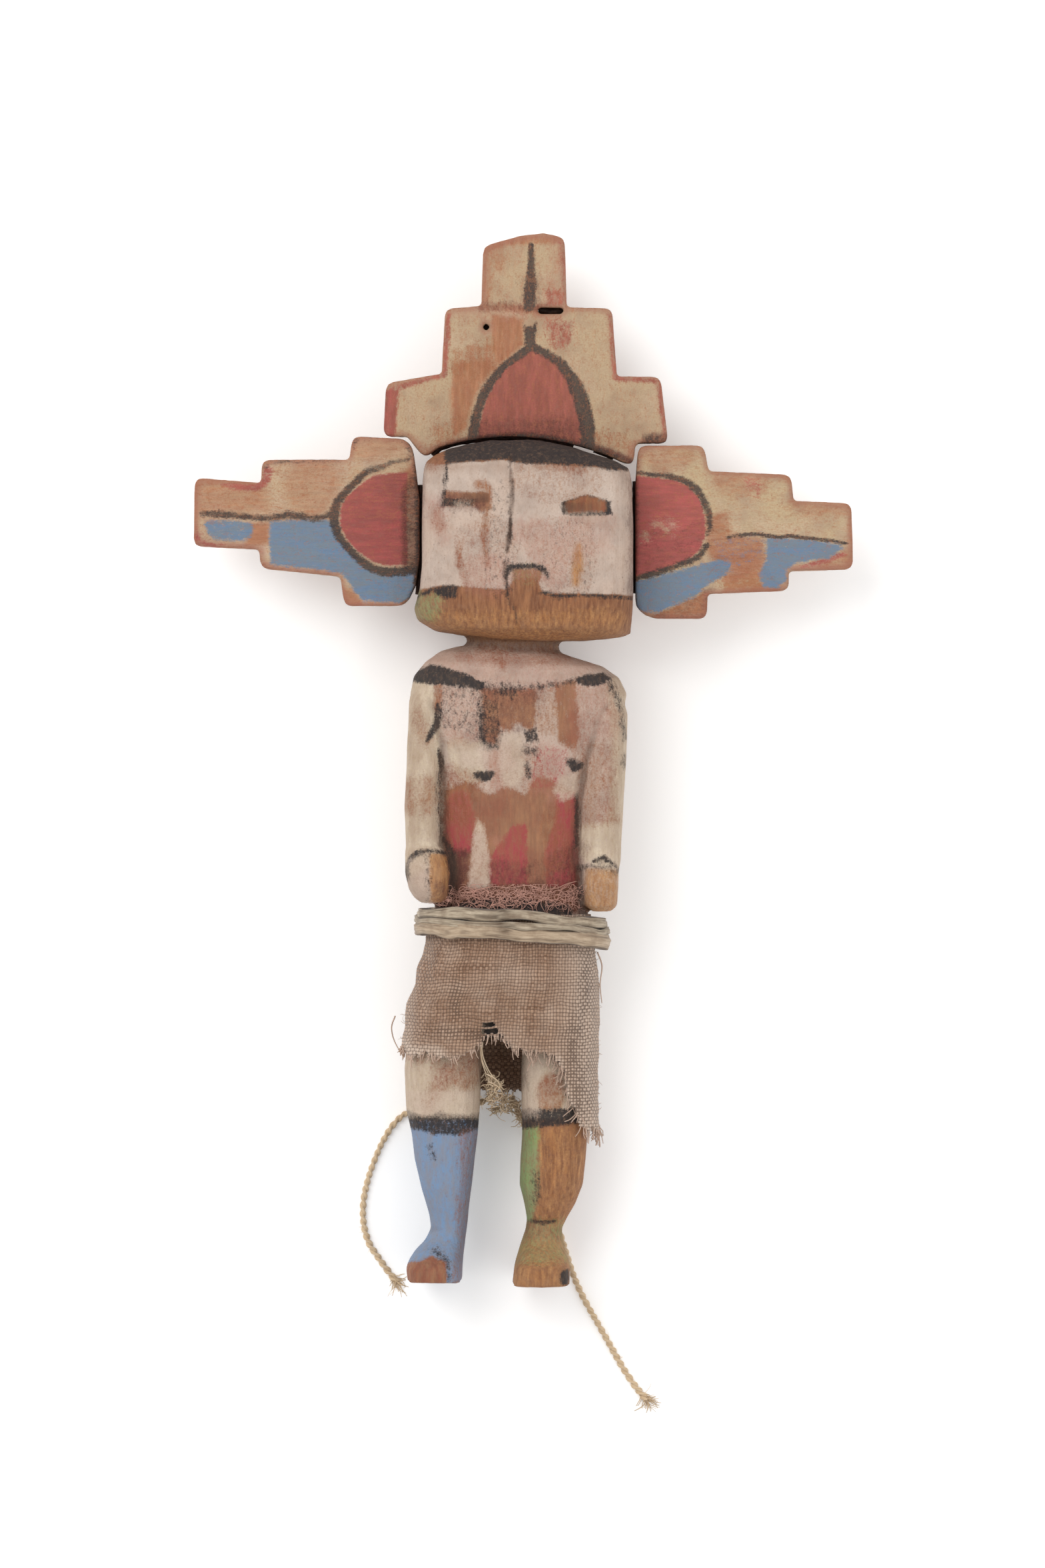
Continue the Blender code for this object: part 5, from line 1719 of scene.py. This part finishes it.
@dataclass
class WaistBand:
    """A strip of cloth wound round the waist in three strands, creased along its length."""

    left: float = -23.3
    right: float = 18.6
    front: float = 32.6
    back: float = 0.9
    power: float = 2.8
    level: float = -35.5
    tilt: float = -0.055
    stations: int = 420
    sides: int = 26
    facet: float = 0.3
    bows: tuple[float, float, float] = (-0.9, -0.35, 0.2)
    sag: tuple[float, float, float] = (0.0, 0.3, 1.0)
    strands: tuple[tuple[str, float, float, float, float, str, str], ...] = (
        ("waist_band_upper", 2.35, 1.15, 0.9, 1.5, "C4B59F", "8E806E"),
        ("waist_band_middle", 0.55, 0.85, 1.0, 1.0, "BFB09B", "8A7C69"),
        ("waist_band_lower", -1.5, 1.55, 0.9, 0.85, "C1AD95", "96816B"),
    )

    def build(self, figure: bpy.types.Object) -> None:
        """Make the three strands and the pink threads that stand above them.

        Args:
            figure: The carved figure, which the threads lie on.
        """
        wrap = Wrap(self.level, self.left + 1.0, self.right - 1.0, self.back + 1.0, self.front - 1.0, self.power)
        ring = wrap.ring(self.stations)
        middle = (self.left + self.right) / 2
        run = lengths(np.vstack([ring, ring[:1]]))
        tangent = np.roll(ring, -1, axis=0) - np.roll(ring, 1, axis=0)
        outward = np.stack([-tangent[:, 1], tangent[:, 0]], axis=1)
        outward /= np.linalg.norm(outward, axis=1)[:, None]
        circle = np.stack([ring[:, 0], ring[:, 0] * 0, ring[:, 1]], axis=1)
        gap = np.linalg.norm(ring[:, None] - KILT_LEVELS[0].ring(720)[None], axis=2).min(axis=1)
        for number, (name, offset, tall, thick, inset, light, dark) in enumerate(self.strands):
            sway = 0.42 * mottle(circle, 8.0, 60 + number) + 0.2 * mottle(circle, 3.2, 63 + number)
            swell = 1 + 0.22 * mottle(circle, 5.0, 66 + number)
            roll = 0.25 * mottle(circle, 8.0, 69 + number)
            points, strand_shades_and_stains = [], []
            for station in range(self.stations):
                x, z = ring[station]
                bow = self.bows[number] * ((x - middle) / 20.0) ** 2
                bow -= self.sag[number] * max(0.0, (x - 6.0) / 12.0) ** 2
                y = self.level + self.tilt * (x - middle) + offset + sway[station] + bow
                for corner in range(self.sides):
                    turn = TURN * corner / self.sides
                    up = math.copysign(abs(math.sin(turn)) ** 0.8, math.sin(turn)) * tall * swell[station]
                    deep = thick * (0.55 + 0.45 * swell[station])
                    if math.cos(turn) < 0:
                        deep = max(deep, gap[station] + 1.5 - inset)
                    out = math.copysign(abs(math.cos(turn)) ** 0.7, math.cos(turn)) * deep
                    fold = 0.13 * math.sin(5.2 * turn + 2.2 * sway[station] * 5 + number)
                    fold += 0.08 * math.sin(9.3 * turn - 3.1 * swell[station] * 4)
                    out += fold if math.cos(turn) > -0.2 else 0.0
                    # Painted shade at the top and bottom of each strand, where it meets the next, and in rolled folds;
                    # a stain on the front.
                    rolled = max(0.0, -fold - 0.06) * 4.0
                    stain = 0.4 * math.exp(-(((x + 4.2) / 2.0) ** 2)) if z > 15 else 0.0
                    strand_shades_and_stains.append(min(0.85, 0.85 * abs(math.sin(turn)) ** 9 + rolled + stain))
                    lean_up = up * math.cos(roll[station]) + out * math.sin(roll[station])
                    lean_out = out * math.cos(roll[station]) - up * math.sin(roll[station]) + 1.0 - inset
                    points.append(
                        (x + outward[station, 0] * lean_out, y + lean_up, z + outward[station, 1] * lean_out)
                    )
            faces, strips = tube_faces(run, self.sides, self.facet, closed=True)
            placed = np.array(points)
            placed[:, 2] = np.maximum(placed[:, 2], 0.1)
            placed[:, 0] = np.clip(placed[:, 0], self.left - 0.3, self.right + 0.3)
            obj = new_object(name, placed, faces)
            write_places(obj, "strip", strips)
            write_attribute(obj, "crease", np.array(strand_shades_and_stains))
            turn_faces_out(obj)
            finish = SpunCotton(f"torn_cotton_strip_{number}", light, dark, 0.3, "6F5846", 0.4)
            hand_in(obj, finish.build(), "waist_band" if number == 0 else None)
        self.pink_threads(vertices(figure))

    def pink_threads(self, body: np.ndarray) -> None:
        """Make the frayed pink threads that come out of the band and tangle on the belly.

        Args:
            body: The carved figure's vertices in millimetres.
        """
        near = body[(body[:, 1] < -24.0) & (body[:, 1] > -36.0) & (np.abs(body[:, 2] - 24.6) < 4.6)]
        rng = np.random.default_rng(91)
        routes, radii = [], []
        for _ in range(400):
            x = rng.uniform(-18.4, 12.4)
            start = np.array([x, rng.uniform(-31.0, -27.4) + 0.02 * x, 0.0])
            way = np.array([rng.normal(0, 1.0), rng.normal(0.1, 0.45), 0.0])
            route = drifting(rng, start, way, rng.uniform(1.6, 5.0), 0.27, 10)
            route[:, 1] = np.clip(route[:, 1], -32.4, -26.4)
            routes.append(route)
            radii.append(rng.uniform(0.04, 0.085))
        for line in (
            "836 1350, 842 1336, 852 1326, 864 1330, 866 1342, 856 1348, 848 1342",
            "838 1336, 850 1342, 854 1356, 852 1372", "866 1322, 850 1326, 836 1332, 815 1334, 800 1330",
            "700 1340, 720 1334, 742 1330, 765 1332, 790 1328, 812 1332",
        ):
            routes.append(rounded_line(from_ticks(line, 28.0), 5))
            radii.append(0.1)
        for number, route in enumerate(routes):
            for place in route:
                away = np.hypot(near[:, 0] - place[0], near[:, 1] - place[1])
                place[2] = near[away < away.min() + 0.6, 2].max() + 0.12
            route[:, 2] += 0.35 * (1 + mottle(route, 1.5, 92 + number % 7))
        obj = tube_mesh("waist_band_pink_threads", routes, radii, 4, 0.7)
        finish = SpunCotton("pink_cotton_thread", "D8AF9E", "AD7464", 0.15, "8F5A49", 0.35)
        hand_in(obj, finish.build())


# ---------------------------------------------------------------- joints


@dataclass(frozen=True)
class GapShadeFill(Finish):
    """Brown-black and dull like boiled pine pitch, with a slight gloss: painted shade for the gaps and holes round the
    head.
    """

    name: str = "dark_brown_gap_shade"
    light: str = "5A392B"
    dark: str = "2C1B13"

    def surface(self, tree: bpy.types.NodeTree) -> dict[str, Any]:
        """Mix the browns in lumps.

        Args:
            tree: The material's node tree.

        Returns:
            The sockets of the Principled BSDF.
        """
        place = add_node(tree, "TexCoord")["Object"]
        lumps = add_node(tree, "TexNoise", {"Vector": place, "Scale": 700.0, "Detail": 4.0, "Roughness": 0.6})["Fac"]
        tone = add_node(tree, "MapRange", {"Value": lumps, "From Min": 0.35, "From Max": 0.7})[0]
        colour = add_node(tree, "Mix", {0: tone, 6: linear(self.dark), 7: linear(self.light)}, data_type="RGBA")[2]
        bump = add_node(tree, "Bump", {"Strength": 0.6, "Distance": 0.3 * MM, "Height": lumps})
        return {"Base Color": colour, "Roughness": 0.62, "Normal": bump[0], "IOR": 1.5}


@dataclass
class GapShadeBeads:
    """Dark brown beads in the joints round the head, painted shade for the gaps there, and dark stubs like old pegs
    in the top board's two holes, painted shade for inside the holes.
    """

    seams: tuple[tuple[str, float, float], ...] = (
        ("650 684, 659 673, 672 668, 688 664, 712 660, 738 658, 780 657, 822 660, 845 664, 861 668", 0.62, 15.8),
        ("891 675, 905 680, 921 686", 0.6, 15.8),
        ("631 727, 632 770, 632 810, 631 845, 629 873, 627 892", 0.62, 15.6),
        ("951.5 722, 952 760, 952 810, 953 860, 953 890", 0.42, 15.6),
    )
    stubs: tuple[tuple[str, float], ...] = (
        ("808 466, 817 466, 826 467, 835 466, 845 466", 0.95),
        ("725 491, 730 491, 735 491", 1.35),
    )

    def build(self) -> None:
        """Make the beads and the stubs as one piece."""
        routes, radii = [], []
        for line, radius, level in self.seams:
            routes.append(evenly(rounded_line(from_ticks(line, level), 6), 0.5))
            radii.append(radius)
        for line, radius in self.stubs:
            routes.append(rounded_line(from_ticks(line, 15.6), 4))
            radii.append(radius)
        obj = tube_mesh("headdress_gap_shade_beads", routes, radii, 12, 1.0)
        points, outward = vertices(obj), normals(obj)
        set_vertices(obj, points + outward * (0.12 * mottle(points, 1.1, 95))[:, None])
        hand_in(obj, GapShadeFill().build())


# ---------------------------------------------------------------- studio


@dataclass
class Studio:
    """Pale paper under the doll, large soft lights, and the camera straight above."""

    floor: float = 3.0
    lights: tuple[tuple[str, tuple[float, float, float], float, float], ...] = (
        ("key_softbox", (-0.75, 0.75, 1.35), 1.3, 13.5),
        ("fill_softbox", (1.1, -0.5, 1.2), 1.6, 6.0),
    )

    def build(self) -> None:
        """Set up the floor, the lights, the world and the camera."""
        bpy.ops.object.select_all(action="DESELECT")
        bpy.ops.mesh.primitive_plane_add(size=self.floor, location=(0, 0, 0))
        paper = bpy.context.active_object
        paper.name = "backdrop_paper"
        bpy.ops.object.mode_set(mode="EDIT")
        bpy.ops.mesh.subdivide(number_cuts=8)
        bpy.ops.object.mode_set(mode="OBJECT")
        paper.data.materials.append(BackdropPaper().build())

        for name, place, size, power in self.lights:
            light = bpy.data.lights.new(name, "AREA")
            light.shape = "DISK"
            light.size = size
            light.energy = power
            light.color = linear("FFFDFA")[:3]
            lamp = bpy.data.objects.new(name, light)
            lamp.location = place
            aim = -lamp.location
            lamp.rotation_euler = aim.to_track_quat("-Z", "Y").to_euler()
            bpy.context.scene.collection.objects.link(lamp)

        world = bpy.data.worlds.new("soft_white_room")
        world.use_nodes = True
        sky = world.node_tree.nodes["Background"]
        sky.inputs["Color"].default_value = linear("FFFFFF")
        sky.inputs["Strength"].default_value = 0.76
        scene = bpy.context.scene
        scene.world = world
        scene.view_settings.view_transform = "Standard"
        scene.view_settings.look = "None"

        camera = bpy.data.cameras.new("photo_camera")
        camera.sensor_width = SENSOR
        reach = (CAMERA_HEIGHT - PICTURE_LEVEL) / MM
        camera.lens = SENSOR * reach / (PICTURE_HEIGHT / TICKS)
        camera.clip_start = 0.1
        camera.clip_end = 20.0
        stand = bpy.data.objects.new("photo_camera", camera)
        stand.location = (-CENTRE_SHIFT[0] / TICKS * MM, -CENTRE_SHIFT[1] / TICKS * MM, CAMERA_HEIGHT)
        scene.collection.objects.link(stand)
        scene.camera = stand


# ---------------------------------------------------------------- the doll


LEFT_STRING = (
    (-6, -72.3, 0.9), (-9.5, -74, 0.75), (-15, -75.2, 0.72), (-20.5, -75.4, 0.72), (-25, -76.1, 0.72),
    (-28, -78.6, 0.72), (-30.4, -82.4, 0.72), (-32.2, -86.5, 0.72), (-33.7, -91, 0.72), (-34.6, -95.8, 0.72),
    (-34.5, -100.2, 0.72), (-33.4, -104.2, 0.72), (-31.3, -107.5, 0.72), (-29.2, -110.4, 0.72), (-27.3, -112.8, 0.72),
)
RIGHT_STRING = (
    (-2.6, -72.6, 0.9), (-1.2, -75.6, 0.75), (0.4, -79, 0.72), (2.2, -84, 0.72), (4, -89.5, 0.72), (5.9, -95.5, 0.72),
    (7.8, -101.5, 0.72), (9.6, -107.4, 0.72), (11.4, -112.6, 0.72), (13.6, -117.2, 0.72), (16.1, -121.6, 0.72),
    (18.7, -126.2, 0.72), (21.4, -131, 0.72), (24.2, -135.2, 0.72), (26.8, -138.2, 0.72),
)


def carved_pieces() -> tuple[CarvedPiece, ...]:
    """The four pieces of painted root, the figure first."""
    boards = {"slot": "painted_board", "voxel": 0.45, "middle": 16.6, "cut_depth": 0.12}
    along = (1.6, 0.16, 1.6)
    across = (0.16, 1.6, 1.6)
    board = {
        "wood": "B17A56", "wood_dark": "905E3C", "wood_red": "A4664B", "fresh": "B67C5A", "fresh_dark": "A0664A",
        "edge_stain_and_shade": "9A6354", "edge_stain_and_shade_strength": 0.5, "black": "302D30", "black_dark": "463F3B",
    }
    side_board = {"grain": across, "blue": "5E7F9F", "blue_dark": "6B7F90", **board}
    return (
        CarvedPiece(
            "figure",
            "carved_figure",
            "painted_figure",
            PaintedCottonwood(grain=along),
            HEAD_MARKS + TORSO_MARKS + LEG_MARKS,
            grooves=(
                ("766 686 1, 768 740 1, 766 780 1, 761 826 2", 0.35, 0.55),
                ("757 845 1, 761 885 1, 775 920 1, 776 945 1", 0.45, 0.3),
                ("798 1831 1, 815 1834 2, 833 1832 1", 0.4, 0.5),
            ),
        ),
        CarvedPiece(
            "headdress_top", "headdress_top_board",
            finish=PaintedCottonwood(
                "cottonwood_board_top", "BFA88C", "A78E75", "BCA687", grain=along, red="A9594F", red_dark="8C4A41",
                **board,
            ),
            marks=TOP_MARKS, cut_size=(9.0, 20.0, 9.0), seed=101, **boards,
        ),
        CarvedPiece(
            "headdress_left", "headdress_left_board",
            finish=PaintedCottonwood(
                "cottonwood_board_left", "C4AC94", "AE937B", "C1AA8C", red="A64B4B", red_dark="8E4444", **side_board
            ),
            marks=LEFT_MARKS, cut_size=(20.0, 9.0, 9.0), seed=201, **boards,
        ),
        CarvedPiece(
            "headdress_right", "headdress_right_board",
            finish=PaintedCottonwood(
                "cottonwood_board_right", "C3AE91", "AA927A", "C0AC8A", red="B25253", red_dark="9A4B4A", **side_board,
            ),
            marks=RIGHT_MARKS, cut_size=(20.0, 9.0, 9.0), seed=301, **boards,
        ),
    )


def main() -> None:
    """Dress the frame."""
    logging.basicConfig(level=logging.INFO, format="%(name)s: %(message)s")
    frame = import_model()
    Studio().build()
    BeltString("cord_left", "string_left", LEFT_STRING, 71).build()
    BeltString("cord_right", "string_right", RIGHT_STRING, 72).build()
    carved = [piece.build(frame["nodes"][piece.node]) for piece in carved_pieces()]
    GapShadeBeads().build()
    WaistBand().build(carved[0])
    Kilt().build(carved[0])


if __name__ == "__main__":
    main()
